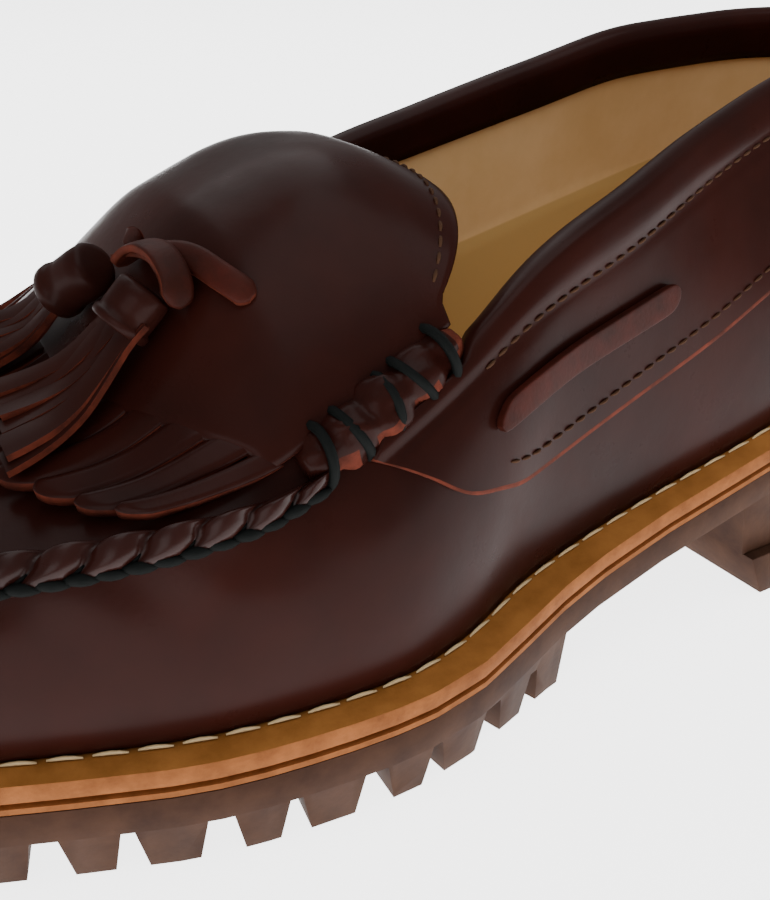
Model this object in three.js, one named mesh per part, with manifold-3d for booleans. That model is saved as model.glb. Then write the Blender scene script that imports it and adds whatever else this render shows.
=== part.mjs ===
// A left tasselled loafer with a fringed kiltie, a hand-sewn moccasin seam and a lugged rubber sole.
// Millimetres. The toe points to -Y, the heel to +Y, the outer (little-toe) side to +X, and the floor is z = 0.
import * as THREE from "three";
import { mergeVertices } from "three/addons/utils/BufferGeometryUtils.js";
import Module from "manifold-3d";

const wasm = await Module();
wasm.setup();

// Driving sizes
const soleLength = 283;
const ballWidth = 100;
const forefootTread = 13.8;
const heelRise = 20;
const toeSpring = 8.5;
const midsoleThickness = 1.9;
const weltThickness = 3;
const weltReveal = 4.7;
const waistRubber = 5.3;
const treadDepth = 7.6;
const treadTaper = 1.7;
const heelLiftHeight = 9;
const heelLength = 88;
const heelLean = 5;
const upperWall = 1.8;
const quarterLeather = 1.2;
const kiltieLeather = 1.8;
const insoleThickness = 3;
const toeSetback = 23.5;
const backSetback = 4.5;
const collarHeight = 56.5;
const clearance = 0.3;

// The edge of the sole, seen from above: at is the share of the length from the toe, lateral and medial are
// the distances from the axis to each edge as shares of the ball width, reveal is the welt's showing width.
const solePlan = [
  { at: 0.0, lateral: -0.07, medial: 0.07, reveal: 0.85 },
  { at: 0.016, lateral: 0.075, medial: 0.2, reveal: 0.85 },
  { at: 0.058, lateral: 0.192, medial: 0.315, reveal: 0.82 },
  { at: 0.129, lateral: 0.294, medial: 0.42, reveal: 0.8 },
  { at: 0.217, lateral: 0.385, medial: 0.475, reveal: 0.84 },
  { at: 0.306, lateral: 0.477, medial: 0.488, reveal: 0.98 },
  { at: 0.36, lateral: 0.506, medial: 0.476, reveal: 1.0 },
  { at: 0.412, lateral: 0.518, medial: 0.455, reveal: 1.05 },
  { at: 0.465, lateral: 0.497, medial: 0.424, reveal: 1.2 },
  { at: 0.514, lateral: 0.455, medial: 0.395, reveal: 1.25 },
  { at: 0.571, lateral: 0.425, medial: 0.37, reveal: 1.1 },
  { at: 0.641, lateral: 0.415, medial: 0.358, reveal: 1.0 },
  { at: 0.716, lateral: 0.42, medial: 0.362, reveal: 0.97 },
  { at: 0.818, lateral: 0.405, medial: 0.365, reveal: 0.92 },
  { at: 0.924, lateral: 0.3, medial: 0.285, reveal: 0.9 },
  { at: 1.0, lateral: 0.0, medial: 0.0, reveal: 0.9 },
];

// The underside of the midsole from the side: spring is a share of the toe spring, rise of the heel's rise.
const soleRun = [
  { at: 0.0, spring: 1.0, rise: 0.0 },
  { at: 0.058, spring: 0.74, rise: 0.0 },
  { at: 0.147, spring: 0.36, rise: 0.0 },
  { at: 0.217, spring: 0.13, rise: 0.0 },
  { at: 0.26, spring: 0.05, rise: 0.0 },
  { at: 0.32, spring: 0.0, rise: 0.0 },
  { at: 0.45, spring: 0.0, rise: 0.015 },
  { at: 0.5, spring: 0.0, rise: 0.11 },
  { at: 0.588, spring: 0.0, rise: 0.315 },
  { at: 0.677, spring: 0.0, rise: 0.575 },
  { at: 0.765, spring: 0.0, rise: 0.87 },
  { at: 0.84, spring: 0.0, rise: 0.97 },
  { at: 0.9, spring: 0.0, rise: 1.0 },
  { at: 1.0, spring: 0.0, rise: 1.0 },
];

// The line that the wall rises to: the moccasin seam in front of the throat and the collar behind it.
// lateral, medial: shares of the ball width from the axis. outer, inner: heights above the welt on those
// sides, and crown: the instep's height above the seam, all as shares of the collar height at the back.
const topLine = [
  { at: 0.0, lateral: -0.07, medial: 0.07, outer: 0.29, inner: 0.29, crown: 0.0 },
  { at: 0.048, lateral: 0.13, medial: 0.25, outer: 0.375, inner: 0.39, crown: 0.03 },
  { at: 0.11, lateral: 0.265, medial: 0.335, outer: 0.445, inner: 0.465, crown: 0.04 },
  { at: 0.175, lateral: 0.345, medial: 0.365, outer: 0.488, inner: 0.525, crown: 0.055 },
  { at: 0.236, lateral: 0.392, medial: 0.375, outer: 0.52, inner: 0.585, crown: 0.12 },
  { at: 0.269, lateral: 0.403, medial: 0.375, outer: 0.535, inner: 0.64, crown: 0.225 },
  { at: 0.298, lateral: 0.405, medial: 0.37, outer: 0.548, inner: 0.68, crown: 0.34 },
  { at: 0.326, lateral: 0.401, medial: 0.365, outer: 0.584, inner: 0.72, crown: 0.405 },
  { at: 0.359, lateral: 0.395, medial: 0.36, outer: 0.64, inner: 0.775, crown: 0.41 },
  { at: 0.42, lateral: 0.38, medial: 0.345, outer: 0.775, inner: 0.865, crown: 0.315 },
  { at: 0.481, lateral: 0.357, medial: 0.325, outer: 0.885, inner: 0.945, crown: 0.07 },
  { at: 0.563, lateral: 0.322, medial: 0.3, outer: 0.94, inner: 0.985, crown: 0.0 },
  { at: 0.645, lateral: 0.27, medial: 0.28, outer: 0.97, inner: 1.005, crown: 0.0 },
  { at: 0.727, lateral: 0.235, medial: 0.26, outer: 0.98, inner: 1.01, crown: 0.0 },
  { at: 0.809, lateral: 0.225, medial: 0.245, outer: 0.975, inner: 0.998, crown: 0.0 },
  { at: 0.89, lateral: 0.205, medial: 0.212, outer: 0.986, inner: 1.0, crown: 0.0 },
  { at: 0.96, lateral: 0.135, medial: 0.135, outer: 0.995, inner: 1.0, crown: 0.0 },
  { at: 1.0, lateral: 0.0, medial: 0.0, outer: 1.0, inner: 1.0, crown: 0.0 },
];
const throatShare = 0.42;
const throatRun = 0.09;
const outerArch = 2.15;
const innerArch = 2.9;

// How far the wall stands out past the straight line from welt to top line, in millimetres.
const wallSwell = [
  { at: 0.0, swell: 1.5 },
  { at: 0.3, swell: 1.6 },
  { at: 0.5, swell: 1.2 },
  { at: 0.75, swell: 2.2 },
  { at: 1.0, swell: 3.2 },
];

// The lower edge of the quarter, as shares of the wall's height.
const quarterEdge = [
  { at: 0.36, height: 0.92 },
  { at: 0.378, height: 0.842 },
  { at: 0.409, height: 0.7 },
  { at: 0.44, height: 0.556 },
  { at: 0.469, height: 0.477 },
  { at: 0.49, height: 0.43 },
  { at: 0.523, height: 0.41 },
  { at: 0.56, height: 0.42 },
  { at: 0.64, height: 0.457 },
  { at: 0.697, height: 0.515 },
  { at: 0.8, height: 0.56 },
  { at: 1.0, height: 0.6 },
];

const material = (name, colour, roughness) =>
  new THREE.MeshStandardMaterial({ name, color: colour, roughness, metalness: 0 });
const leather = material("burgundy_leather", 0x3a2321, 0.35);
const rubber = material("brown_rubber", 0x5b4334, 0.7);
const weltLeather = material("tan_welt", 0x8a5a22, 0.5);
const midsoleLeather = material("tan_midsole", 0xa06c45, 0.6);
const lace = material("red_brown_lace", 0x6e3322, 0.5);
const tasselLeather = material("tassel_leather", 0x35201d, 0.45);
const sock = material("golden_sock", 0x9c7434, 0.6);

// A station is a share along; its angle spreads stations evenly round a rounded end.
const angleOf = (at) => Math.acos(1 - 2 * Math.min(1, Math.max(0, at))) / Math.PI;
const shareOf = (angle) => (1 - Math.cos(Math.PI * angle)) / 2;

// Reads a column of a table at a share along, on a smooth curve through its rows.
function sample(rows, column, at) {
  const x = angleOf(at);
  let i = 0;
  while (i < rows.length - 2 && x > angleOf(rows[i + 1].at)) i++;
  const place = (k) => angleOf(rows[Math.min(rows.length - 1, Math.max(0, k))].at);
  const value = (k) => rows[Math.min(rows.length - 1, Math.max(0, k))][column];
  const secant = (k) => (value(k + 1) - value(k)) / (place(k + 1) - place(k));
  const slope = (k) => {
    if (k === 0) return secant(0);
    if (k === rows.length - 1) return secant(k - 1);
    const [before, after] = [secant(k - 1), secant(k)];
    if (before * after <= 0) return 0;
    const steepest = 3 * Math.min(Math.abs(before), Math.abs(after));
    return Math.sign(before) * Math.min(steepest, Math.abs(before + after) / 2);
  };
  const width = place(i + 1) - place(i);
  const t = Math.min(1, Math.max(0, (x - place(i)) / width));
  const a = t * t * (3 - 2 * t);
  const b = t * (1 - t) * (1 - t);
  const c = t * t * (t - 1);
  return value(i) * (1 - a) + value(i + 1) * a + width * (b * slope(i) + c * slope(i + 1));
}

// The loop parameter w runs from the toe (0) along the outer side to the heel (1)
// and back along the inner side to the toe (2).
const angleAt = (w) => (w <= 1 ? w : 2 - w);
const sideAt = (w) => (w <= 1 ? "lateral" : "medial");
const signAt = (w) => (w <= 1 ? 1 : -1);
const wrap = (w) => ((w % 2) + 2) % 2;

const planRows = Array.from({ length: 201 }, (_, i) => i / 200);
const widest = (side) => Math.max(...planRows.map((a) => sample(solePlan, side, a)));
const axisShift = ((widest("lateral") - widest("medial")) / 2) * ballWidth;

const soleEdge = (w) => {
  const at = shareOf(angleAt(w));
  const x = signAt(w) * sample(solePlan, sideAt(w), at) * ballWidth - axisShift;
  return new THREE.Vector2(x, (at - 0.5) * soleLength);
};

// The sole's edge moved in by a distance, square to the edge.
function insetEdge(wFree, inset) {
  const w = wrap(wFree);
  const before = soleEdge(wrap(w - 0.004));
  const after = soleEdge(wrap(w + 0.004));
  const along = after.sub(before).normalize();
  const edge = soleEdge(w);
  return new THREE.Vector2(edge.x - along.y * inset, edge.y + along.x * inset);
}

// The stations of one side, shared by every piece that follows the outline: closer together at the throat.
const throatAngle = angleOf(throatShare);
const spread = (from, to, steps) =>
  Array.from({ length: steps + 1 }, (_, i) => from + ((to - from) * i) / steps);
const sideStations = [
  ...spread(0, throatAngle - throatRun, 12),
  ...spread(throatAngle - throatRun, throatAngle, 6).slice(1),
  ...spread(throatAngle, throatAngle + throatRun, 4).slice(1),
  ...spread(throatAngle + throatRun, 1, 13).slice(1),
];
const loopStations = [...sideStations, ...sideStations.slice(1, -1).map((u) => 2 - u).reverse()];

// The upper's foot: the sole's edge moved in by the showing width of the welt and a further depth.
const footEdge = (w, depth) =>
  insetEdge(w, weltReveal * sample(solePlan, "reveal", shareOf(angleAt(wrap(w)))) + depth);

const shareAtY = (y) => y / soleLength + 0.5;
const springAt = (y) => toeSpring * sample(soleRun, "spring", shareAtY(y));
const midsoleBottom = (y) =>
  forefootTread + springAt(y) + heelRise * sample(soleRun, "rise", shareAtY(y));
const weltBottom = (y) => midsoleBottom(y) + midsoleThickness + clearance;
const weltTop = (y) => weltBottom(y) + weltThickness;
const upperSeat = (y) => weltTop(y) + clearance;

// Solids from points and faces
function geometryOf(points, faces) {
  const flat = new Float32Array(points.length * 3);
  points.forEach((p, i) => p.toArray(flat, i * 3));
  const raw = new THREE.BufferGeometry()
    .setAttribute("position", new THREE.BufferAttribute(flat, 3))
    .setIndex(faces.flat());
  const merged = mergeVertices(raw, 1e-3);
  const index = merged.index.array;
  const kept = [];
  for (let i = 0; i < index.length; i += 3) {
    const [a, b, c] = [index[i], index[i + 1], index[i + 2]];
    if (a !== b && b !== c && c !== a) kept.push(a, b, c);
  }
  return faceOut(merged, kept);
}

// Turns the faces over where they enclose a negative volume.
function faceOut(geometry, index) {
  const position = geometry.getAttribute("position");
  const corner = (k) => new THREE.Vector3().fromBufferAttribute(position, index[k]);
  let volume = 0;
  for (let i = 0; i < index.length; i += 3) {
    volume += corner(i).dot(corner(i + 1).cross(corner(i + 2)));
  }
  return geometry.setIndex(volume < 0 ? [...index].reverse() : index);
}

function solidOf(geometry) {
  const made = new wasm.Manifold(
    new wasm.Mesh({
      numProp: 3,
      vertProperties: new Float32Array(geometry.getAttribute("position").array),
      triVerts: new Uint32Array(geometry.index.array),
    }),
  );
  return made;
}

// The largest body of a solid, without the crumbs that a cut leaves.
const mainBody = (solid) => solid.decompose().sort((a, b) => b.volume() - a.volume())[0];

function geometryFrom(solid) {
  const mesh = mainBody(solid).getMesh();
  return new THREE.BufferGeometry()
    .setAttribute("position", new THREE.BufferAttribute(mesh.vertProperties, 3))
    .setIndex(new THREE.BufferAttribute(mesh.triVerts, 1));
}

// Two skins of the same grid, closed along their rims. The first index runs round and may close on itself.
function shell(outer, inner, closes) {
  const columns = outer.length;
  const rows = outer[0].length;
  const points = [...outer.flat(), ...inner.flat()];
  const half = columns * rows;
  const faces = [];
  const id = (skin, i, j) => skin * half + (i % columns) * rows + j;
  const quad = (a, b, c, d) => faces.push([a, b, c], [a, c, d]);
  const last = closes ? columns : columns - 1;
  for (let i = 0; i < last; i++) {
    for (let j = 0; j < rows - 1; j++) {
      quad(id(0, i, j), id(0, i + 1, j), id(0, i + 1, j + 1), id(0, i, j + 1));
      quad(id(1, i, j), id(1, i, j + 1), id(1, i + 1, j + 1), id(1, i + 1, j));
    }
    quad(id(0, i, 0), id(1, i, 0), id(1, i + 1, 0), id(0, i + 1, 0));
    quad(id(0, i, rows - 1), id(0, i + 1, rows - 1), id(1, i + 1, rows - 1), id(1, i, rows - 1));
  }
  if (!closes) {
    for (let j = 0; j < rows - 1; j++) {
      quad(id(0, 0, j), id(0, 0, j + 1), id(1, 0, j + 1), id(1, 0, j));
      quad(id(0, last, j), id(1, last, j), id(1, last, j + 1), id(0, last, j + 1));
    }
  }
  return geometryOf(points, faces);
}

const movedIn = (inset) => (w) => insetEdge(w, inset);

// A layer of the sole between two heights, over a stretch of its length, out to an edge.
function slab(edge, bottomAt, topAt, fromShare = 0, toShare = 1, lowEdge = edge) {
  const from = angleOf(fromShare);
  const to = angleOf(toShare);
  const angles = [from, ...sideStations.filter((u) => u > from + 0.003 && u < to - 0.003), to];
  const rib = (height, edgeAt, w) => {
    const p = edgeAt(w);
    return new THREE.Vector3(p.x, p.y, height(p.y));
  };
  const low = angles.map((u) => [rib(bottomAt, lowEdge, u), rib(bottomAt, lowEdge, 2 - u)]);
  const high = angles.map((u) => [rib(topAt, edge, u), rib(topAt, edge, 2 - u)]);
  return shell(low, high, false);
}

// A ring between two edges and two heights.
function ring(outerEdge, innerEdge, bottomAt, topAt) {
  const rim = (edgeAt) =>
    loopStations.map((w) => {
      const p = edgeAt(w);
      return [
        new THREE.Vector3(p.x, p.y, bottomAt(p.y)),
        new THREE.Vector3(p.x, p.y, topAt(p.y)),
      ];
    });
  return shell(rim(outerEdge), rim(innerEdge), true);
}

// The last: wall from the welt (s = 0) to the top line (s = 1), then the apron to the throat (s = 2)
const topSpan = soleLength - 2 * weltReveal - toeSetback - backSetback;
const topStart = -soleLength / 2 + weltReveal + toeSetback;
const heightOf = (side) => (side === "lateral" ? "outer" : "inner");
const topShareAtY = (y) => (y - topStart) / topSpan;
const topHeight = (side, at, y) => upperSeat(y) + collarHeight * sample(topLine, heightOf(side), at);

function topPoint(wFree) {
  const w = wrap(wFree);
  const at = shareOf(angleAt(w));
  const y = topStart + topSpan * at;
  const x = signAt(w) * sample(topLine, sideAt(w), at) * ballWidth - axisShift;
  return new THREE.Vector3(x, y, topHeight(sideAt(w), at, y));
}

// The instep's surface over the apron and on through the throat.
function instepHeight(x, y) {
  const at = topShareAtY(y);
  const centre = (sample(topLine, "lateral", at) - sample(topLine, "medial", at)) / 2;
  const half = ((sample(topLine, "lateral", at) + sample(topLine, "medial", at)) / 2) * ballWidth;
  const reach = (x + axisShift - centre * ballWidth) / Math.max(half, 1e-6);
  const side = reach >= 0 ? "lateral" : "medial";
  const other = reach >= 0 ? "medial" : "lateral";
  const power = reach >= 0 ? outerArch : innerArch;
  const crown = collarHeight * sample(topLine, "crown", at);
  const edge = topHeight(side, at, y);
  const middle = (edge + topHeight(other, at, y)) / 2 + crown;
  return edge + (middle - edge) * (1 - Math.pow(Math.min(1.2, Math.abs(reach)), power));
}

const throatBow = 5;

function throatPoint(w) {
  const corner = topPoint(signAt(w) > 0 ? throatAngle : 2 - throatAngle);
  const far = topPoint(signAt(w) > 0 ? 2 - throatAngle : throatAngle);
  const reach = Math.min(1, angleAt(w) / throatAngle);
  const centre = (corner.x + far.x) / 2;
  const swing = Math.sin((reach * Math.PI) / 2);
  const x = centre + (corner.x - centre) * swing;
  return new THREE.Vector2(x, corner.y - throatBow * (1 - swing * swing));
}

function skin(wFree, s) {
  const w = wrap(wFree);
  const at = shareOf(angleAt(w));
  const top = topPoint(w);
  if (s <= 1) {
    const edge = footEdge(w, 0);
    const out = footEdge(w, -1).sub(edge);
    const lean = Math.pow(s, 2.1);
    const swell = sample(wallSwell, "swell", at) * Math.sin(Math.PI * s);
    return new THREE.Vector3(
      edge.x + (top.x - edge.x) * lean + out.x * swell,
      edge.y + (top.y - edge.y) * lean + out.y * swell,
      upperSeat(edge.y) + (top.z - upperSeat(edge.y)) * s,
    );
  }
  if (angleAt(w) >= throatAngle) return top;
  const end = throatPoint(w);
  const x = top.x + (end.x - top.x) * (s - 1);
  const y = top.y + (end.y - top.y) * (s - 1);
  return new THREE.Vector3(x, y, instepHeight(x, y));
}

// The outward direction of the skin on the wall.
function outward(w, s) {
  const sLow = Math.max(0, s - 0.02);
  const sHigh = Math.min(1, s + 0.02);
  const along = skin(w + 0.004, s).sub(skin(w - 0.004, s));
  const up = skin(w, sHigh).sub(skin(w, sLow));
  return along.cross(up).normalize();
}

const wallPoint = (w, s, offset) => skin(w, s).addScaledVector(outward(w, s), offset);

// The averaged direction out of a grid of points at one of them.
function gridOutward(grid, i, j) {
  const columns = grid.length;
  const rows = grid[0].length;
  const sum = new THREE.Vector3();
  for (const [di, dj] of [[0, 0], [-1, 0], [0, -1], [-1, -1]]) {
    const a = (i + di + columns) % columns;
    const b = (a + 1) % columns;
    const c = j + dj;
    if (c < 0 || c + 1 > rows - 1) continue;
    const first = grid[b][c + 1].clone().sub(grid[a][c]);
    const second = grid[a][c + 1].clone().sub(grid[b][c]);
    sum.add(first.cross(second));
  }
  return sum.normalize();
}

// The upper: wall and apron in one hollow shell, open at the collar and throat and underneath.
// grow moves both its faces outwards from its leather, for cutting what lies against it.
const wallLevels = 6;
const upperLevels = [...spread(0, 1, wallLevels), 1.08, 1.28, 1.55, 1.8, 2];
const offsetGrid = (grid, offset, rimLift = 0) =>
  grid.map((column, i) =>
    column.map((p, j) => {
      const open = angleAt(loopStations[i]) >= throatAngle - 1e-9;
      const out = gridOutward(grid, i, open ? Math.min(j, wallLevels) : j);
      if (j === 0) out.setZ(0).normalize();
      const moved = p.clone().addScaledVector(out, offset);
      if (open && j >= wallLevels) moved.z += rimLift;
      return moved;
    }),
  );

function upperForm(grow) {
  const grid = loopStations.map((w) => upperLevels.map((s) => skin(w, s)));
  const outer = grow > 0 ? offsetGrid(grid, grow, grow) : grid;
  return shell(outer, offsetGrid(grid, -upperWall - grow, grow), true);
}

// The quarter: a second layer of leather round the heel that rolls over the collar.
// grow thickens it on both sides, for cutting what lies against it.
function quarterForm(grow) {
  const start = angleOf(quarterEdge[0].at);
  const outerSide = sideStations.filter((u) => u >= start);
  const stations = [...outerSide, ...outerSide.slice(0, -1).map((u) => 2 - u).reverse()];
  const near = clearance * 1.4;
  const far = near + quarterLeather;
  const rollFrom = 0.97;
  const foldShare = 0.885;
  const turns = spread(0, 1, 4);
  const path = (w, gap) => {
    const lower = sample(quarterEdge, "height", shareOf(angleAt(w)));
    const open = angleAt(w) >= throatAngle - 1e-9;
    const legs = spread(lower, rollFrom, 4).map((s) => wallPoint(w, s, gap));
    if (!open) return [...legs, ...turns.map(() => legs[4]), legs[4]];
    const up = skin(w, 1).sub(skin(w, 0.98)).normalize();
    const out = outward(w, rollFrom);
    const centre = wallPoint(w, 1, -upperWall / 2);
    const radius = upperWall / 2 + gap;
    const roll = turns.map((t) =>
      centre
        .clone()
        .addScaledVector(out, radius * Math.cos(Math.PI * t))
        .addScaledVector(up, radius * Math.sin(Math.PI * t) * 0.9 + 0.1),
    );
    return [...legs, ...roll, wallPoint(w, foldShare, -upperWall - gap)];
  };
  return shell(
    stations.map((w) => path(w, far + grow)),
    stations.map((w) => path(w, near - grow)),
    false,
  );
}

// A rounded ridge that stands on the seam between wall and apron.
// baseAt lifts its foot off the leather at each station, wallReach and apronReach are its feet's distances
// from the seam, and heightAt gives its height at each station.
function seamRidge(stations, { baseAt, wallReach, apronReach, heightAt }) {
  const apronPlace = (w, reach, lift) => {
    const top = topPoint(w);
    const inner = skin(w, 1.08);
    const step = new THREE.Vector2(inner.x - top.x, inner.y - top.y).normalize();
    const at = (x, y) => new THREE.Vector3(x, y, instepHeight(x, y));
    const [x, y] = [top.x + step.x * reach, top.y + step.y * reach];
    const here = at(x, y);
    const out = at(x + 0.5, y).sub(here).cross(at(x, y + 0.5).sub(here)).normalize();
    return here.addScaledVector(out, lift);
  };
  const wallPlace = (w, reach, lift) => {
    const height = topPoint(w).z - skin(w, 0).z;
    return wallPoint(w, 1 - reach / height, lift);
  };
  const crest = (w, lift) => {
    const a = apronPlace(w, 0.6, lift);
    return a.add(wallPlace(w, 0.6, lift)).multiplyScalar(0.5);
  };
  const outer = stations.map((w, i) => {
    const height = heightAt(i);
    const base = baseAt(i);
    return [
      wallPlace(w, wallReach, base),
      wallPlace(w, wallReach * 0.8, base + height * 0.65),
      crest(w, base + height),
      apronPlace(w, apronReach * 0.75, base + height * 0.6),
      apronPlace(w, apronReach, base),
    ];
  });
  const inner = stations.map((w, i) => {
    const base = baseAt(i);
    return [
      wallPlace(w, wallReach, base),
      wallPlace(w, wallReach * 0.5, base),
      crest(w, base),
      apronPlace(w, apronReach * 0.5, base),
      apronPlace(w, apronReach, base),
    ];
  });
  return shell(outer, inner, false);
}

// The tread
const treadPitch = 11.65;
const treadSwing = 0.85;
const lugEnd = 0.535;
const grooveReach = 17;

const rubberTop = (y) => midsoleBottom(y) - clearance;
const treadBottom = (y) => springAt(y);

// A trapezoid groove that cuts in from the edge at w, wider towards the floor.
function groove(w, bottomWidth, topWidth, depth, floorAt, reach) {
  const mouth = insetEdge(w, -4);
  const end = insetEdge(w, reach);
  const inwards = end.clone().sub(mouth).normalize();
  const across = new THREE.Vector2(-inwards.y, inwards.x);
  const floor = floorAt(mouth.y);
  const section = (p) => {
    const point = (half, z) => new THREE.Vector3(p.x + across.x * half, p.y + across.y * half, z);
    return [
      point(-bottomWidth / 2 - 0.6, floor - 3),
      point(bottomWidth / 2 + 0.6, floor - 3),
      point(topWidth / 2, floor + depth),
      point(-topWidth / 2, floor + depth),
    ];
  };
  const a = section(mouth);
  const b = section(end);
  const faces = [[0, 2, 1], [0, 3, 2], [4, 5, 6], [4, 6, 7]];
  for (let k = 0; k < 4; k++) {
    const n = (k + 1) % 4;
    faces.push([k, n, n + 4], [k, n + 4, k + 4]);
  }
  return solidOf(geometryOf([...a, ...b], faces));
}

// Walks the sole's edge from a share towards the toe, and gives the loop places of the grooves.
function groovePlaces(side, fromShare, toShare, pitch, swing) {
  const places = [];
  let w = side > 0 ? angleOf(fromShare) : 2 - angleOf(fromShare);
  const step = -side * 0.0005;
  let left = pitch * 0.7;
  let index = 0;
  const stop = angleOf(toShare);
  while (angleAt(wrap(w)) > stop) {
    const travelled = soleEdge(wrap(w + step)).distanceTo(soleEdge(wrap(w)));
    w += step;
    left -= travelled;
    if (left > 0) continue;
    places.push({ w: wrap(w), wide: index % 2 === 1 });
    index += 1;
    left = pitch + (index % 2 === 1 ? -swing : swing);
  }
  return places;
}

// A bar across the sole with a four-cornered section in the plane of y and z.
function crossBar(corners) {
  const span = ballWidth;
  const points = [-span, span].flatMap((x) => corners.map(([y, z]) => new THREE.Vector3(x, y, z)));
  const faces = [[0, 1, 2], [0, 2, 3], [4, 6, 5], [4, 7, 6]];
  for (let k = 0; k < 4; k++) {
    const n = (k + 1) % 4;
    faces.push([k, k + 4, n + 4], [k, n + 4, n]);
  }
  return solidOf(geometryOf(points, faces));
}

// What is taken away in front of the heel, whose breast leans back towards the floor.
const heelFront = soleLength / 2 - heelLength;
const heelBreast = (start, low, high, lean) =>
  crossBar([
    [start - 30, low - 1],
    [start + lean, low - 1],
    [start, high],
    [start - 30, high],
  ]);

function outsoleGeometry() {
  const edgeInset = 0.6;
  const base = solidOf(slab(movedIn(edgeInset), (y) => rubberTop(y) - waistRubber, rubberTop));
  const tread = solidOf(
    slab(
      movedIn(edgeInset),
      treadBottom,
      (y) => rubberTop(y) - 1,
      0,
      lugEnd,
      movedIn(edgeInset + treadTaper),
    ),
  );
  const blockStart = (heelFront - 4) / soleLength + 0.5;
  const heelBlock = solidOf(
    slab(
      movedIn(edgeInset + 0.8),
      () => heelLiftHeight + clearance,
      (y) => rubberTop(y) - 1,
      blockStart,
    ),
  );
  const breast = heelBreast(heelFront, heelLiftHeight, rubberTop(heelFront) - waistRubber, 2);
  let body = tread.add(heelBlock.subtract(breast)).add(base);
  for (const side of [1, -1]) {
    for (const place of groovePlaces(side, lugEnd, 0.004, treadPitch, treadSwing)) {
      const wide = place.wide ? 1.8 : 0;
      body = body.subtract(
        groove(place.w, 4.5 + wide, 1.8 + wide, treadDepth, treadBottom, grooveReach),
      );
    }
  }
  return geometryFrom(body);
}

function heelLiftGeometry() {
  const liftStart = (heelFront + 2) / soleLength + 0.5;
  let body = solidOf(slab(movedIn(-0.6), () => 0, () => heelLiftHeight, liftStart));
  body = body.subtract(heelBreast(heelFront + 2, 0, heelLiftHeight + 1, heelLean));
  for (const side of [1, -1]) {
    for (const place of groovePlaces(side, 0.985, liftStart + 0.05, treadPitch + 1.6, treadSwing)) {
      const wide = place.wide ? 1.4 : 0;
      body = body.subtract(groove(place.w, 4.6 + wide, 2 + wide, 6, () => 0, 13));
    }
  }
  return geometryFrom(body);
}

// The kiltie lies over the apron and runs back through the throat as the tongue's end.
const kiltieRise = clearance * 2;
const kiltieTop = kiltieRise + kiltieLeather;
const kiltieMargin = 3.4;
const tongueTip = 2.5;
const tongueRound = 12.5;
const fringeFront = -72;
const fringeRound = 11.5;
const halfSpan = 37;
const tongueEnd = (x) => tongueTip - tongueRound * Math.pow(Math.min(1, Math.abs(x + 2) / halfSpan), 1.9);
const fringeEnd = (x) => fringeFront + fringeRound * Math.pow(Math.abs(x) / halfSpan, 2);

// A point over the instep: q runs from the inner edge (-1) to the outer one (1).
function instepPoint(x, y, lift) {
  const at = (px, py) => new THREE.Vector3(px, py, instepHeight(px, py));
  const here = at(x, y);
  const out = at(x + 0.5, y).sub(here).cross(at(x, y + 0.5).sub(here)).normalize();
  return here.addScaledVector(out, lift);
}

function kiltieX(q, y) {
  const at = topShareAtY(y);
  const half = sample(topLine, q > 0 ? "lateral" : "medial", at) * ballWidth - kiltieMargin;
  return q * half - axisShift;
}

function kiltieSheet(fromQ, toQ, columns, rows, frontAt, backAt, liftAt, thickness = kiltieLeather) {
  const grid = (lift) =>
    spread(fromQ, toQ, columns).map((q) =>
      spread(0, 1, rows).map((t) => {
        const front = frontAt(q);
        const y = front + (backAt(q) - front) * t;
        return instepPoint(kiltieX(q, y), y, liftAt(q, t) + lift);
      }),
    );
  return shell(grid(0), grid(thickness), false);
}

function kiltieForm() {
  const fringeRoot = 15;
  const bodyFront = (q) => fringeEnd(q * halfSpan) + fringeRoot;
  const body = kiltieSheet(-1, 1, 12, 10, bodyFront, (q) => tongueEnd(q * halfSpan), () => kiltieRise);
  let kiltie = solidOf(body);
  const leaves = 9;
  const half = 1 / leaves;
  for (let k = 0; k < leaves; k++) {
    const middle = -1 + (2 * k + 1) * half;
    const tip = (q) => {
      const reach = (q - middle) / (half * 1.25);
      return fringeEnd(middle * halfSpan) + 3 * Math.pow(Math.abs(reach), 3);
    };
    const lap = (q, t) => kiltieRise + (1 - t) * (0.7 - ((q - middle) / half) * 0.65);
    const leaf = kiltieSheet(
      middle - half * 1.25,
      Math.min(1, middle + half * 1.25),
      3,
      3,
      tip,
      (q) => bodyFront(q) + 2,
      lap,
    );
    kiltie = kiltie.add(solidOf(leaf));
  }
  return kiltie.subtract(solidOf(upperForm(clearance)));
}

// The puckered seam round the apron, with a pleat between each pair of stitches.
const pleatPitch = 7;
const seamShare = 0.301;

function seamStations(fromW, toW, pitch) {
  const places = [fromW];
  let travelled = 0;
  for (let w = fromW; w < toW; w += 0.0005) {
    travelled += topPoint(wrap(w)).distanceTo(topPoint(wrap(w + 0.0005)));
    if (travelled < pitch) continue;
    places.push(w);
    travelled = 0;
  }
  return places;
}

function mocSeamForm() {
  const end = angleOf(seamShare);
  const stations = seamStations(-end, end, pleatPitch / 2);
  return seamRidge(stations, {
    baseAt: () => clearance * 1.5,
    wallReach: 4.2,
    apronReach: 2.8,
    heightAt: (i) => (i % 2 === 0 ? 1.7 : 2.9),
  });
}

// The thick roll of leather at each corner of the throat, seated on the upper, the quarter and the kiltie.
const rollRadius = 4.2;
const rollSides = 10;
const rollInset = 1.6;
const rollLift = 1.7;
const rollRibs = [
  { at: 0.314, share: 0.5 },
  { at: 0.321, share: 0.82 },
  { at: 0.34, share: 1 },
  { at: 0.37, share: 1.02 },
  { at: 0.398, share: 1 },
  { at: 0.41, share: 0.86 },
  { at: 0.416, share: 0.55 },
];

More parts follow.
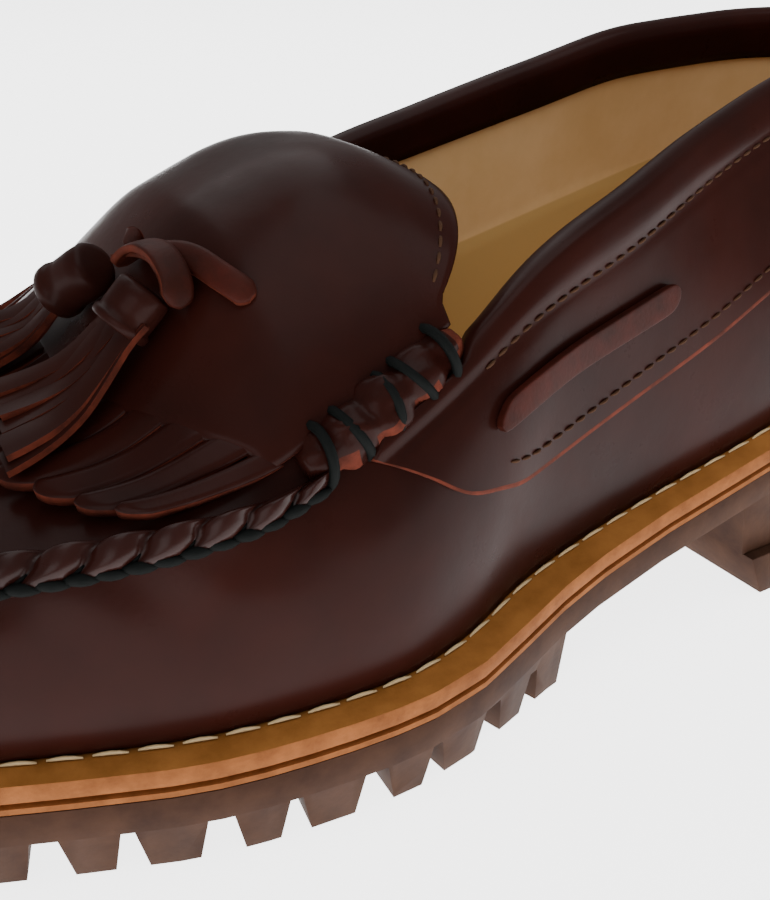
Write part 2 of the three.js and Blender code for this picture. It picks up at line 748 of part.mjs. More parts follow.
function beefRollForm(side) {
  const ribs = rollRibs.map((row) => {
    const u = angleOf(row.at);
    const w = side > 0 ? u : 2 - u;
    const centre = topPoint(w).add(new THREE.Vector3(-side * rollInset, 0, rollLift));
    const along = topPoint(w + 0.01).sub(topPoint(w - 0.01)).normalize();
    const out = new THREE.Vector3(side, 0, 0).addScaledVector(along, -side * along.x).normalize();
    const up = out.clone().cross(along).multiplyScalar(side);
    return spread(0, rollSides - 1, rollSides - 1).map((k) => {
      const turn = (2 * Math.PI * k) / rollSides;
      return centre
        .clone()
        .addScaledVector(out, rollRadius * row.share * Math.cos(turn))
        .addScaledVector(up, rollRadius * row.share * Math.sin(turn));
    });
  });
  const under = kiltieSheet(-1.02, 1.02, 12, 10, () => fringeFront, () => tongueTip, () => 0, kiltieTop + clearance);
  return solidOf(tubeOf(ribs))
    .subtract(solidOf(under))
    .subtract(solidOf(quarterForm(clearance)))
    .subtract(solidOf(quarterForm(clearance)).translate([0, -clearance * 2, clearance]))
    .subtract(solidOf(quarterForm(clearance)).translate([0, -clearance, -clearance]))
    .subtract(solidOf(upperForm(clearance)));
}

// The flat lace where it shows along each quarter, with its round ends.
const laceWidth = 4.5;
const laceThickness = 1.4;
const knotLaceWidth = 3.8;
const barRun = { from: 0.452, to: 0.604, front: 0.715, back: 0.675 };

function laceBarForm(side) {
  const lift = clearance * 2.4 + quarterLeather;
  const place = (t, v, height) => {
    const at = barRun.from + (barRun.to - barRun.from) * t;
    const w = side > 0 ? angleOf(at) : 2 - angleOf(at);
    const end = Math.min(t, 1 - t) * 18;
    const round = end >= 1 ? 1 : Math.sqrt(1 - (1 - end) * (1 - end));
    const wall = topPoint(w).z - skin(w, 0).z;
    const middle = barRun.front + (barRun.back - barRun.front) * t;
    return wallPoint(w, middle + (v * laceWidth * Math.max(0.3, round)) / wall, height);
  };
  const stops = [0, 0.025, 0.055, ...spread(0.055, 0.945, 8).slice(1), 0.975, 1];
  const face = (height) => stops.map((t) => [-0.5, 0, 0.5].map((v) => place(t, v, height)));
  return shell(face(lift + laceThickness), face(lift), false);
}

// A tassel: a rolled cap on the lace's end, and flat strips fused to it that fan out down the instep.
// head, end and tip are places on the instep under the cap's two ends and under the strips' tips.
const capRadius = 4.1;
const capSides = 12;
const stripThickness = 1.1;
const tasselPlaces = [
  { headX: 13.8, headY: -42.1, endX: 13.8, endY: -46.6, tipX: 12.5, tipY: -68, fan: 21 },
  { headX: 1.6, headY: -43.8, endX: -4.4, endY: -48.6, tipX: -14.5, tipY: -67.5, fan: 20 },
];
const strips = [
  { across: -1.0, lift: 1.1, reach: 0.93 },
  { across: -0.72, lift: 2.6, reach: 1.0 },
  { across: -0.45, lift: 1.3, reach: 1.02 },
  { across: -0.2, lift: 3.4, reach: 0.95 },
  { across: 0.03, lift: 1.7, reach: 1.04 },
  { across: 0.28, lift: 3.0, reach: 0.98 },
  { across: 0.52, lift: 1.4, reach: 1.0 },
  { across: 0.76, lift: 2.7, reach: 0.94 },
  { across: 1.0, lift: 1.1, reach: 0.9 },
];

// A closed solid through round ribs of points.
function tubeOf(ribs) {
  const sides = ribs[0].length;
  const faces = [];
  const last = (ribs.length - 1) * sides;
  for (let r = 0; r < ribs.length - 1; r++) {
    for (let k = 0; k < sides; k++) {
      const n = (k + 1) % sides;
      const [a, b] = [r * sides, (r + 1) * sides];
      faces.push([a + k, a + n, b + n], [a + k, b + n, b + k]);
    }
  }
  for (let k = 1; k < sides - 1; k++) {
    faces.push([0, k + 1, k], [last, last + k, last + k + 1]);
  }
  return geometryOf(ribs.flat(), faces);
}

function capForm(place) {
  const head = instepPoint(place.headX, place.headY, kiltieTop + capRadius + clearance);
  const end = instepPoint(place.endX, place.endY, kiltieTop + capRadius + clearance);
  const axis = end.clone().sub(head);
  const along = axis.clone().normalize();
  const side = along.clone().cross(new THREE.Vector3(0, 0, 1)).normalize();
  const up = side.clone().cross(along);
  const profile = [
    { t: 0, share: 0.55 },
    { t: 0.04, share: 0.86 },
    { t: 0.3, share: 0.95 },
    { t: 0.8, share: 0.93 },
    { t: 0.84, share: 1 },
    { t: 1.0, share: 0.98 },
  ];
  const ribs = profile.map((row) =>
    spread(0, capSides - 1, capSides - 1).map((k) => {
      const turn = (2 * Math.PI * k) / capSides;
      return head
        .clone()
        .addScaledVector(axis, row.t)
        .addScaledVector(side, Math.cos(turn) * capRadius * row.share)
        .addScaledVector(up, Math.sin(turn) * capRadius * row.share);
    }),
  );
  return solidOf(tubeOf(ribs));
}

function tasselForm(place) {
  let tassel = capForm(place);
  const turn = Math.atan2(place.tipY - place.endY, place.tipX - place.endX);
  const across = new THREE.Vector2(-Math.sin(turn), Math.cos(turn));
  const narrow = capRadius * 0.68;
  for (const strip of strips) {
    const row = (t, lift) => {
      const spreadHere = narrow + (place.fan / 2 - narrow) * Math.pow(Math.max(0, t), 0.9);
      const half = 1.0 + 0.45 * t;
      const x = place.endX + (place.tipX - place.endX) * t * strip.reach;
      const y = place.endY + (place.tipY - place.endY) * t * strip.reach;
      const settle = strip.lift + (capRadius - strip.lift) * Math.pow(1 - Math.min(1, Math.max(0, t)), 2);
      const rise = 0.95 * Math.pow(Math.max(0, t), 1.5);
      return [-half, half].map((v) => {
        const off = strip.across * (spreadHere - half) + v;
        return instepPoint(x + across.x * off, y + across.y * off, kiltieTop + clearance + settle + rise + lift);
      });
    };
    const stops = [-0.12, 0.22, 0.58, 1];
    const low = stops.map((t) => row(t, -stripThickness / 2));
    const high = stops.map((t) => row(t, stripThickness / 2));
    tassel = tassel.add(solidOf(shell(high, low, false)));
  }
  return tassel;
}

// The knotted flat lace: an arch over the caps' heads, and an end that runs to a slit in the kiltie.
const laceArch = [
  { x: 6.2, y: -45.8, z: 75.2 },
  { x: 7.6, y: -45.1, z: 76.4 },
  { x: 10.3, y: -44.4, z: 77.4 },
  { x: 14.0, y: -43.9, z: 77.1 },
  { x: 17.0, y: -43.7, z: 75.4 },
  { x: 18.4, y: -43.8, z: 73.4 },
];
const laceRun = [
  { x: 12.0, y: -37.5, lift: 0.9 },
  { x: 14.6, y: -36.9, lift: 0.7 },
  { x: 17.9, y: -36.3, lift: 0.5 },
  { x: 21.8, y: -34.8, lift: 0.3 },
];
const archCore = new THREE.Vector3(11.6, -44.2, 71.5);

function flatLace(places, facing, steps) {
  const curve = new THREE.CatmullRomCurve3(places);
  const rows = spread(0, 1, steps).map((t) => {
    const here = curve.getPointAt(t);
    const out = facing(here, t);
    const across = curve.getTangentAt(t).cross(out).normalize();
    return { here, out, across };
  });
  const face = (height) =>
    rows.map(({ here, out, across }) =>
      [-0.5, 0, 0.5].map((v) =>
        here
          .clone()
          .addScaledVector(across, v * knotLaceWidth)
          .addScaledVector(out, height - Math.abs(v) * 0.4),
      ),
    );
  return shell(face(laceThickness), face(0), false);
}

const knotForm = () =>
  flatLace(
    laceArch.map((p) => new THREE.Vector3(p.x, p.y, p.z)),
    (here) => here.clone().sub(archCore).normalize(),
    10,
  );
const laceEndForm = () =>
  flatLace(
    laceRun.map((p) => instepPoint(p.x, p.y, kiltieTop + clearance + 0.25 + p.lift)),
    (here) => instepPoint(here.x, here.y, 1).sub(instepPoint(here.x, here.y, 0)).normalize(),
    8,
  );

const loafer = new THREE.Group();
function addPiece(name, geometry, finish) {
  const mesh = new THREE.Mesh(geometry, finish.clone());
  mesh.name = name;
  loafer.add(mesh);
}

addPiece("outsole", outsoleGeometry(), rubber);
addPiece("heel_top_lift", heelLiftGeometry(), rubber);
addPiece("midsole", slab(soleEdge, midsoleBottom, (y) => midsoleBottom(y) + midsoleThickness), midsoleLeather);
addPiece("welt", ring(soleEdge, (w) => footEdge(w, upperWall), weltBottom, weltTop), weltLeather);
addPiece(
  "insole",
  slab(
    (w) => footEdge(w, upperWall + clearance),
    weltBottom,
    (y) => weltBottom(y) + weltThickness + insoleThickness,
  ),
  sock,
);
addPiece("upper", upperForm(0), leather);
addPiece("quarter", geometryFrom(solidOf(quarterForm(0)).subtract(solidOf(upperForm(clearance / 2)))), leather);
const kiltie = kiltieForm();
addPiece("kiltie", geometryFrom(kiltie), leather);
addPiece("moc_seam", mocSeamForm(), leather);
addPiece("beef_roll_outer", geometryFrom(beefRollForm(1)), leather);
addPiece("beef_roll_inner", geometryFrom(beefRollForm(-1)), leather);
addPiece("lace_bar_outer", laceBarForm(1), lace);
addPiece("lace_bar_inner", laceBarForm(-1), lace);
const tassels = tasselPlaces.map(tasselForm);
addPiece("tassel_near", geometryFrom(tassels[0]), tasselLeather);
addPiece("tassel_far", geometryFrom(tassels[1]), tasselLeather);
addPiece("lace_knot", knotForm(), lace);
addPiece("lace_end", laceEndForm(), lace);

export default loafer;
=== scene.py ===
import math

import bpy
import numpy as np
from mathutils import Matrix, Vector


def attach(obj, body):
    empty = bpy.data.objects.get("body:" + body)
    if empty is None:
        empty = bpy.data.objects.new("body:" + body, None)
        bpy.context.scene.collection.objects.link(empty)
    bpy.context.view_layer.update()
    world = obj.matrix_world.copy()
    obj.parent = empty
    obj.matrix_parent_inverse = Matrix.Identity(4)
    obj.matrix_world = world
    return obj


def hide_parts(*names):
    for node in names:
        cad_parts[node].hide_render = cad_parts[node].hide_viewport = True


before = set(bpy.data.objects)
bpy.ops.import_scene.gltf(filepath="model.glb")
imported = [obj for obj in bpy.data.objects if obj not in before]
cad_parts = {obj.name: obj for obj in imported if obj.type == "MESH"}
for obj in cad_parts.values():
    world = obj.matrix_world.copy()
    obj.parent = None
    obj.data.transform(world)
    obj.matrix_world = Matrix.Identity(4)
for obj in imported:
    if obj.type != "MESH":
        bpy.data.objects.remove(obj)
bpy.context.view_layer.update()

# Camera, floor and light
# A close view from above the shoe's outer side, with white paper for a floor. The floor glows of its own
# until it is nearly as bright as the air (painted light: an emission, not a lamp, which also lights the shoe
# from below), and soft boxes stand above and beside the shoe, as in a product studio.
MM = 0.001


def camera_at(place, azimuth, elevation, focal):
    camera = bpy.data.objects.new("camera", bpy.data.cameras.new("camera"))
    bpy.context.scene.collection.objects.link(camera)
    turn, rise = math.radians(azimuth), math.radians(elevation)
    back = Vector((math.sin(turn) * math.cos(rise), -math.cos(turn) * math.cos(rise), math.sin(rise)))
    camera.rotation_mode = "QUATERNION"
    camera.rotation_quaternion = (-back).to_track_quat("-Z", "Y")
    camera.location = Vector(place) * MM
    camera.data.sensor_width = 36
    camera.data.lens = focal
    camera.data.clip_start = 0.005
    camera.data.clip_end = 20
    bpy.context.scene.camera = camera


camera_at((147.55, -92.73, 119.83), 57.80, 27.34, 42.9)


def linear(colour):
    """An sRGB hex colour as linear red, green and blue."""
    values = [int(colour[i : i + 2], 16) / 255 for i in (1, 3, 5)]
    return tuple(v / 12.92 if v <= 0.04045 else ((v + 0.055) / 1.055) ** 2.4 for v in values)


def node(tree, kind, settings=(), links=()):
    """Adds a shader node with its settings, and links what feeds its sockets."""
    made = tree.nodes.new(kind)
    for name, value in dict(settings).items():
        if name in made.inputs:
            made.inputs[name].default_value = value
        else:
            setattr(made, name, value)
    for name, source in dict(links).items():
        tree.links.new(source, made.inputs[name])
    return made


def finish(name, colour, roughness, ior=1.5, coat=0.0, gloss=0.08):
    """A material of one colour, and its tree and shader, ready for its pattern."""
    material = bpy.data.materials.new(name)
    material.use_nodes = True
    shader = material.node_tree.nodes["Principled BSDF"]
    shader.inputs["Base Color"].default_value = (*linear(colour), 1)
    shader.inputs["Roughness"].default_value = roughness
    shader.inputs["IOR"].default_value = ior
    shader.inputs["Coat Weight"].default_value = coat
    shader.inputs["Specular IOR Level"].default_value = gloss
    shader.inputs["Coat Roughness"].default_value = 0.22
    return material, material.node_tree, shader


# Matt white paper that glows of its own (painted light: a strong emission, not a lamp), so only a soft shadow
# shows on it
studio_white, _, paper = finish("glowing_white_paper", "#f1f1f1", 0.9)
paper.inputs["Emission Color"].default_value = (*linear("#ffffff"), 1)
paper.inputs["Emission Strength"].default_value = 3.5
bpy.ops.object.select_all(action="DESELECT")
bpy.ops.mesh.primitive_plane_add(size=6, location=(0, 0, 0))
floor = bpy.context.object
floor.name = "floor"
floor.data.materials.append(studio_white)


def soft_box(name, place, target, size, power):
    light = bpy.data.lights.new(name, "AREA")
    light.shape = "RECTANGLE"
    light.size, light.size_y = size
    light.energy = power
    lamp = bpy.data.objects.new(name, light)
    bpy.context.scene.collection.objects.link(lamp)
    lamp.location = place
    lamp.rotation_mode = "QUATERNION"
    lamp.rotation_quaternion = (Vector(target) - Vector(place)).to_track_quat("-Z", "Y")


soft_box("back_box", (-0.75, 0.15, 0.95), (0, 0, 0.05), (0.8, 0.8), 4)
soft_box("top_box", (0.15, 0.1, 1.2), (0, 0, 0.05), (0.9, 0.9), 6.5)
soft_box("front_box", (0.9, -0.9, 0.7), (0, -0.02, 0.03), (0.9, 0.7), 5)
world = bpy.data.worlds.new("studio_air")
world.use_nodes = True
world.node_tree.nodes["Background"].inputs["Color"].default_value = (*linear("#f4f4f4"), 1)
world.node_tree.nodes["Background"].inputs["Strength"].default_value = 0.5
bpy.context.scene.world = world

# Upper
# One shell of burgundy pull-up leather lined with tan calf, pulled wet over a wooden last and polished.
# It takes broad soft folds at the ball and small puckers under the hand-sewn seam. The last's outline,
# instep and top line have the solids' sizes, and every soft piece below is laid on them.
sole_length, ball_width, collar_height = 283.0, 100.0, 56.5
welt_reveal, toe_setback, back_setback = 4.7, 23.5, 4.5
forefoot_tread, toe_spring, heel_rise = 13.8, 8.5, 20.0
midsole_thickness, welt_thickness, clearance = 1.9, 3.0, 0.3
upper_wall, quarter_leather, kiltie_leather = 1.8, 1.2, 1.8
throat_share, throat_bow = 0.42, 5.0
outer_arch, inner_arch = 2.15, 2.9

sole_plan = {
    "at": [
        0.0, 0.016, 0.058, 0.129, 0.217, 0.306, 0.36, 0.412,
        0.465, 0.514, 0.571, 0.641, 0.716, 0.818, 0.924, 1.0,
    ],
    "lateral": [
        -0.07, 0.075, 0.192, 0.294, 0.385, 0.477, 0.506, 0.518,
        0.497, 0.455, 0.425, 0.415, 0.42, 0.405, 0.3, 0.0,
    ],
    "medial": [
        0.07, 0.2, 0.315, 0.42, 0.475, 0.488, 0.476, 0.455,
        0.424, 0.395, 0.37, 0.358, 0.362, 0.365, 0.285, 0.0,
    ],
    "reveal": [0.85, 0.85, 0.82, 0.8, 0.84, 0.98, 1.0, 1.05, 1.2, 1.25, 1.1, 1.0, 0.97, 0.92, 0.9, 0.9],
}
sole_run = {
    "at": [0.0, 0.058, 0.147, 0.217, 0.26, 0.32, 0.45, 0.5, 0.588, 0.677, 0.765, 0.84, 0.9, 1.0],
    "spring": [1.0, 0.74, 0.36, 0.13, 0.05, 0.0, 0.0, 0.0, 0.0, 0.0, 0.0, 0.0, 0.0, 0.0],
    "rise": [0.0, 0.0, 0.0, 0.0, 0.0, 0.0, 0.015, 0.11, 0.315, 0.575, 0.87, 0.97, 1.0, 1.0],
}
top_line = {
    "at": [
        0.0, 0.048, 0.11, 0.175, 0.236, 0.269, 0.298, 0.326, 0.359,
        0.42, 0.481, 0.563, 0.645, 0.727, 0.809, 0.89, 0.96, 1.0,
    ],
    "lateral": [
        -0.07, 0.13, 0.265, 0.345, 0.392, 0.403, 0.405, 0.401, 0.395,
        0.38, 0.357, 0.322, 0.27, 0.235, 0.225, 0.205, 0.135, 0.0,
    ],
    "medial": [
        0.07, 0.25, 0.335, 0.365, 0.375, 0.375, 0.37, 0.365, 0.36,
        0.345, 0.325, 0.3, 0.28, 0.26, 0.245, 0.212, 0.135, 0.0,
    ],
    "outer": [
        0.29, 0.375, 0.445, 0.488, 0.52, 0.535, 0.548, 0.584, 0.64,
        0.775, 0.885, 0.94, 0.97, 0.98, 0.975, 0.986, 0.995, 1.0,
    ],
    "inner": [
        0.29, 0.39, 0.465, 0.525, 0.585, 0.64, 0.68, 0.72, 0.775,
        0.865, 0.945, 0.985, 1.005, 1.01, 0.998, 1.0, 1.0, 1.0,
    ],
    "crown": [
        0.0, 0.03, 0.04, 0.055, 0.12, 0.225, 0.34, 0.405, 0.41,
        0.315, 0.07, 0.0, 0.0, 0.0, 0.0, 0.0, 0.0, 0.0,
    ],
}
wall_swell = {"at": [0.0, 0.3, 0.5, 0.75, 1.0], "swell": [1.5, 1.6, 1.2, 2.2, 3.2]}
quarter_edge = {
    "at": [0.36, 0.378, 0.409, 0.44, 0.469, 0.49, 0.523, 0.56, 0.64, 0.697, 0.8, 1.0],
    "height": [0.92, 0.842, 0.7, 0.556, 0.477, 0.43, 0.41, 0.42, 0.457, 0.515, 0.56, 0.6],
}


def angle_of(at):
    return np.arccos(np.clip(1 - 2 * np.asarray(at, float), -1, 1)) / np.pi


def share_of(angle):
    return (1 - np.cos(np.pi * angle)) / 2


def sample(table, column, at):
    """Reads a column on a smooth curve through its rows, which never overshoots them."""
    places, values = angle_of(table["at"]), np.array(table[column], float)
    secant = np.diff(values) / np.diff(places)
    before, after = secant[:-1], secant[1:]
    steepest = 3 * np.minimum(abs(before), abs(after))
    inner = np.where(before * after > 0, np.sign(before) * np.minimum(steepest, abs(before + after) / 2), 0)
    slope = np.concatenate([secant[:1], inner, secant[-1:]])
    x = angle_of(at)
    i = np.clip(np.searchsorted(places, x) - 1, 0, len(places) - 2)
    width = places[i + 1] - places[i]
    t = np.clip((x - places[i]) / width, 0, 1)
    a, b, c = t * t * (3 - 2 * t), t * (1 - t) ** 2, t * t * (t - 1)
    return values[i] * (1 - a) + values[i + 1] * a + width * (b * slope[i] + c * slope[i + 1])


# w runs from the toe (0) along the outer side to the heel (1) and back to the toe (2)
def turned(w):
    w = np.mod(w, 2)
    return w, np.where(w <= 1, w, 2 - w), np.where(w <= 1, 1.0, -1.0)


def by_side(table, outer, inner, w):
    w, angle, _ = turned(w)
    at = share_of(angle)
    return np.where(w <= 1, sample(table, outer, at), sample(table, inner, at))


every = np.linspace(0, 1, 201)
widest_outer, widest_inner = (sample(sole_plan, side, every).max() for side in ("lateral", "medial"))
axis_shift = (widest_outer - widest_inner) / 2 * ball_width


def sole_edge(w):
    _, angle, sign = turned(w)
    x = sign * by_side(sole_plan, "lateral", "medial", w) * ball_width - axis_shift
    return x, (share_of(angle) - 0.5) * sole_length


def inset_edge(w, inset):
    (x0, y0), (x1, y1), (x, y) = sole_edge(w - 0.004), sole_edge(w + 0.004), sole_edge(w)
    length = np.hypot(x1 - x0, y1 - y0)
    return x - (y1 - y0) / length * inset, y + (x1 - x0) / length * inset


def foot_edge(w, depth):
    return inset_edge(w, welt_reveal * sample(sole_plan, "reveal", share_of(turned(w)[1])) + depth)


def midsole_bottom(y):
    at = y / sole_length + 0.5
    spring, rise = sample(sole_run, "spring", at), sample(sole_run, "rise", at)
    return forefoot_tread + toe_spring * spring + heel_rise * rise


def welt_top(y):
    return midsole_bottom(y) + midsole_thickness + clearance + welt_thickness


top_span = sole_length - 2 * welt_reveal - toe_setback - back_setback
top_start = -sole_length / 2 + welt_reveal + toe_setback


def top_point(w):
    _, angle, sign = turned(w)
    y = top_start + top_span * share_of(angle)
    x = sign * by_side(top_line, "lateral", "medial", w) * ball_width - axis_shift
    height = collar_height * by_side(top_line, "outer", "inner", w)
    return np.stack([x, y, welt_top(y) + clearance + height], -1)


def instep_height(x, y):
    at = (y - top_start) / top_span
    lateral, medial = sample(top_line, "lateral", at), sample(top_line, "medial", at)
    off_middle = x + axis_shift - (lateral - medial) / 2 * ball_width
    reach = off_middle / np.maximum((lateral + medial) / 2 * ball_width, 1e-6)
    seat = welt_top(y) + clearance
    outer, inner = (seat + collar_height * sample(top_line, side, at) for side in ("outer", "inner"))
    edge = np.where(reach >= 0, outer, inner)
    middle = (outer + inner) / 2 + collar_height * sample(top_line, "crown", at)
    power = np.where(reach >= 0, outer_arch, inner_arch)
    return edge + (middle - edge) * (1 - np.minimum(1.2, abs(reach)) ** power)


throat_angle = float(angle_of(throat_share))


def skin(w, s):
    """The leather's outer face: s from 0 at the welt to 1 at the top line, and on to 2 at the throat."""
    w, s = np.broadcast_arrays(np.asarray(w, float), np.asarray(s, float))
    _, angle, sign = turned(w)
    top = top_point(w)
    (ex, ey), (ox, oy) = foot_edge(w, 0), foot_edge(w, -1)
    up = np.clip(s, 0, 1)
    lean, swell = up**2.1, sample(wall_swell, "swell", share_of(angle)) * np.sin(np.pi * up)
    seat = welt_top(ey) + clearance
    wall = np.stack(
        [
            ex + (top[..., 0] - ex) * lean + (ox - ex) * swell,
            ey + (top[..., 1] - ey) * lean + (oy - ey) * swell,
            seat + (top[..., 2] - seat) * up,
        ],
        -1,
    )
    near = top_point(np.where(sign > 0, throat_angle, 2 - throat_angle))
    far = top_point(np.where(sign > 0, 2 - throat_angle, throat_angle))
    swing = np.sin(np.minimum(1, angle / throat_angle) * np.pi / 2)
    centre = (near[..., 0] + far[..., 0]) / 2
    end_x, end_y = centre + (near[..., 0] - centre) * swing, near[..., 1] - throat_bow * (1 - swing**2)
    over = np.clip(s - 1, 0, 1)
    x, y = top[..., 0] + (end_x - top[..., 0]) * over, top[..., 1] + (end_y - top[..., 1]) * over
    apron = np.stack([x, y, instep_height(x, y)], -1)
    on_apron = ((s > 1) & (angle < throat_angle))[..., None]
    return np.where(on_apron, apron, wall)


def outward(w, s):
    along = skin(w + 0.004, s) - skin(w - 0.004, s)
    up = skin(w, np.minimum(1, s + 0.02)) - skin(w, np.maximum(0, s - 0.02))
    out = np.cross(along, up)
    return out / np.linalg.norm(out, axis=-1, keepdims=True)


def wall_point(w, s, lift):
    w, s, lift = np.broadcast_arrays(np.asarray(w, float), np.asarray(s, float), np.asarray(lift, float))
    return skin(w, s) + outward(w, s) * lift[..., None]


def instep_point(x, y, lift):
    """A point over the instep, raised square to it."""
    x, y, lift = np.broadcast_arrays(np.asarray(x, float), np.asarray(y, float), np.asarray(lift, float))
    z = instep_height(x, y)
    slope_x, slope_y = (instep_height(x + 0.5, y) - z) / 0.5, (instep_height(x, y + 0.5) - z) / 0.5
    out = np.stack([-slope_x, -slope_y, np.ones_like(z)], -1)
    out /= np.linalg.norm(out, axis=-1, keepdims=True)
    return np.stack([x, y, z], -1) + out * lift[..., None]


def soft(value, start, end):
    """0 before start, 1 after end, and a smooth ramp between them."""
    t = np.clip((value - start) / (end - start), 0, 1)
    return t * t * (3 - 2 * t)


def bump(value, centre, width):
    return np.exp(-(((value - centre) / width) ** 2))


def normals_out():
    """Turns every face of the closed piece made last outwards."""
    bpy.ops.object.mode_set(mode="EDIT")
    bpy.ops.mesh.select_all(action="SELECT")
    bpy.ops.mesh.normals_make_consistent(inside=False)
    bpy.ops.object.mode_set(mode="OBJECT")


def piece_of(name, points, faces, finishes, of_face=None, smooth=True):
    """A piece from points in millimetres and its faces, with a finish for each face."""
    mesh = bpy.data.meshes.new(name)
    mesh.from_pydata((np.asarray(points) * MM).tolist(), [], faces)
    for material in finishes:
        mesh.materials.append(material)
    if of_face is not None:
        mesh.polygons.foreach_set("material_index", of_face)
    piece = bpy.data.objects.new(name, mesh)
    bpy.context.scene.collection.objects.link(piece)
    bpy.ops.object.select_all(action="DESELECT")
    piece.select_set(True)
    bpy.context.view_layer.objects.active = piece
    bpy.ops.object.mode_set(mode="EDIT")
    bpy.ops.mesh.select_all(action="SELECT")
    bpy.ops.mesh.remove_doubles(threshold=2e-6)
    bpy.ops.object.mode_set(mode="OBJECT")
    if smooth:
        bpy.ops.object.shade_smooth()
    else:
        bpy.ops.object.shade_smooth_by_angle(angle=math.radians(40))
    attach(piece, "root")
    return piece


def layer_of(outer, inner, closes):
    """Points and faces of a leather layer between two skins, with each face's kind.

    A kind is 0 on the outside, 1 on the inside, 2 on the first edge and the ends, 3 on the last edge.
    """
    columns, rows = outer.shape[:2]
    points = np.concatenate([outer.reshape(-1, 3), inner.reshape(-1, 3)])
    half = columns * rows

    def at(skin_number, i, j):
        return skin_number * half + (i % columns) * rows + j

    faces, kinds = [], []
    last = columns if closes else columns - 1
    for i in range(last):
        for j in range(rows - 1):
            faces.append((at(0, i, j), at(0, i + 1, j), at(0, i + 1, j + 1), at(0, i, j + 1)))
            faces.append((at(1, i, j), at(1, i, j + 1), at(1, i + 1, j + 1), at(1, i + 1, j)))
            kinds += [0, 1]
        faces.append((at(0, i, 0), at(1, i, 0), at(1, i + 1, 0), at(0, i + 1, 0)))
        end = rows - 1
        faces.append((at(0, i, end), at(0, i + 1, end), at(1, i + 1, end), at(1, i, end)))
        kinds += [2, 3]
    if not closes:
        for j in range(rows - 1):
            faces.append((at(0, 0, j), at(0, 0, j + 1), at(1, 0, j + 1), at(1, 0, j)))
            faces.append((at(0, last, j), at(1, last, j), at(1, last, j + 1), at(0, last, j + 1)))
            kinds += [2, 2]
    return points, faces, kinds


def grid_out(grid, closes):
    """The direction out of a grid of points at each of them."""
    if closes:
        along = np.roll(grid, -1, 0) - np.roll(grid, 1, 0)
    else:
        along = np.gradient(grid, axis=0)
    out = np.cross(along, np.gradient(grid, axis=1))
    return out / np.maximum(np.linalg.norm(out, axis=-1, keepdims=True), 1e-9)


leather_dark, leather_red = "#1f0c09", "#2d110c"


def noise(tree, place, size, **settings):
    """A cloudy pattern whose patches are a real size in millimetres across."""
    values = {"Scale": 1 / (size * MM), **{key.capitalize(): value for key, value in settings.items()}}
    return node(tree, "ShaderNodeTexNoise", values, {"Vector": place}).outputs["Fac"]


def two_tones(tree, shader, pattern, deep, pale, start, end):
    """Colours a pattern from its deeper tone to its paler one."""
    tone = node(tree, "ShaderNodeValToRGB", (), {"Fac": pattern})
    for stop, position, colour in zip(tone.color_ramp.elements, (start, end), (deep, pale)):
        stop.position = position
        stop.color = (*linear(colour), 1)
    tree.links.new(tone.outputs["Color"], shader.inputs["Base Color"])


def polished_leather(name, dark=leather_dark, red=leather_red, roughness=0.3, gloss=0.05):
    """Waxed pull-up leather: cloudy burgundy under thin wax, with broad waves and a fine grain.

    The wax gives the eye long soft lights, duller where it is rubbed. The grain is about 0.45 mm.
    """
    material, tree, shader = finish(name, dark, roughness, 1.42, 0.04, gloss)
    place = node(tree, "ShaderNodeTexCoord").outputs["Object"]
    two_tones(tree, shader, noise(tree, place, 35.71, detail=4.0, roughness=0.6), dark, red, 0.32, 0.74)
    rubbed = noise(tree, place, 13.33, detail=6.0, roughness=0.65)
    span = {"From Min": 0.3, "From Max": 0.7, "To Min": roughness - 0.06, "To Max": roughness + 0.1}
    rough = node(tree, "ShaderNodeMapRange", span, {"Value": rubbed})
    tree.links.new(rough.outputs["Result"], shader.inputs["Roughness"])
    grain = noise(tree, place, 0.4545, detail=3.0)
    fine = node(tree, "ShaderNodeBump", {"Strength": 0.1, "Distance": 0.1 * MM}, {"Height": grain})
    waves = noise(tree, place, 5.263, detail=3.0)
    links = {"Height": waves, "Normal": fine.outputs["Normal"]}
    broad = node(tree, "ShaderNodeBump", {"Strength": 0.12, "Distance": 0.6 * MM}, links)
    tree.links.new(broad.outputs["Normal"], shader.inputs["Normal"])
    return material


def flat_leather(name, colour, deeper, roughness, cloud, rise=0.2):
    """Plain or cut leather: two close tones in clouds of a size in millimetres, and a dry fibre.

    The fibre is drawn at 0.67 mm, coarser than the real one, so that it shows.
    """
    material, tree, shader = finish(name, colour, roughness, 1.47)
    place = node(tree, "ShaderNodeTexCoord").outputs["Object"]
    two_tones(tree, shader, noise(tree, place, cloud, detail=6.0, roughness=0.65), deeper, colour, 0.35, 0.68)
    fibre = noise(tree, place, 0.6667, detail=4.0)
    raised = node(tree, "ShaderNodeBump", {"Strength": rise, "Distance": 0.2 * MM}, {"Height": fibre})
    tree.links.new(raised.outputs["Normal"], shader.inputs["Normal"])
    return material


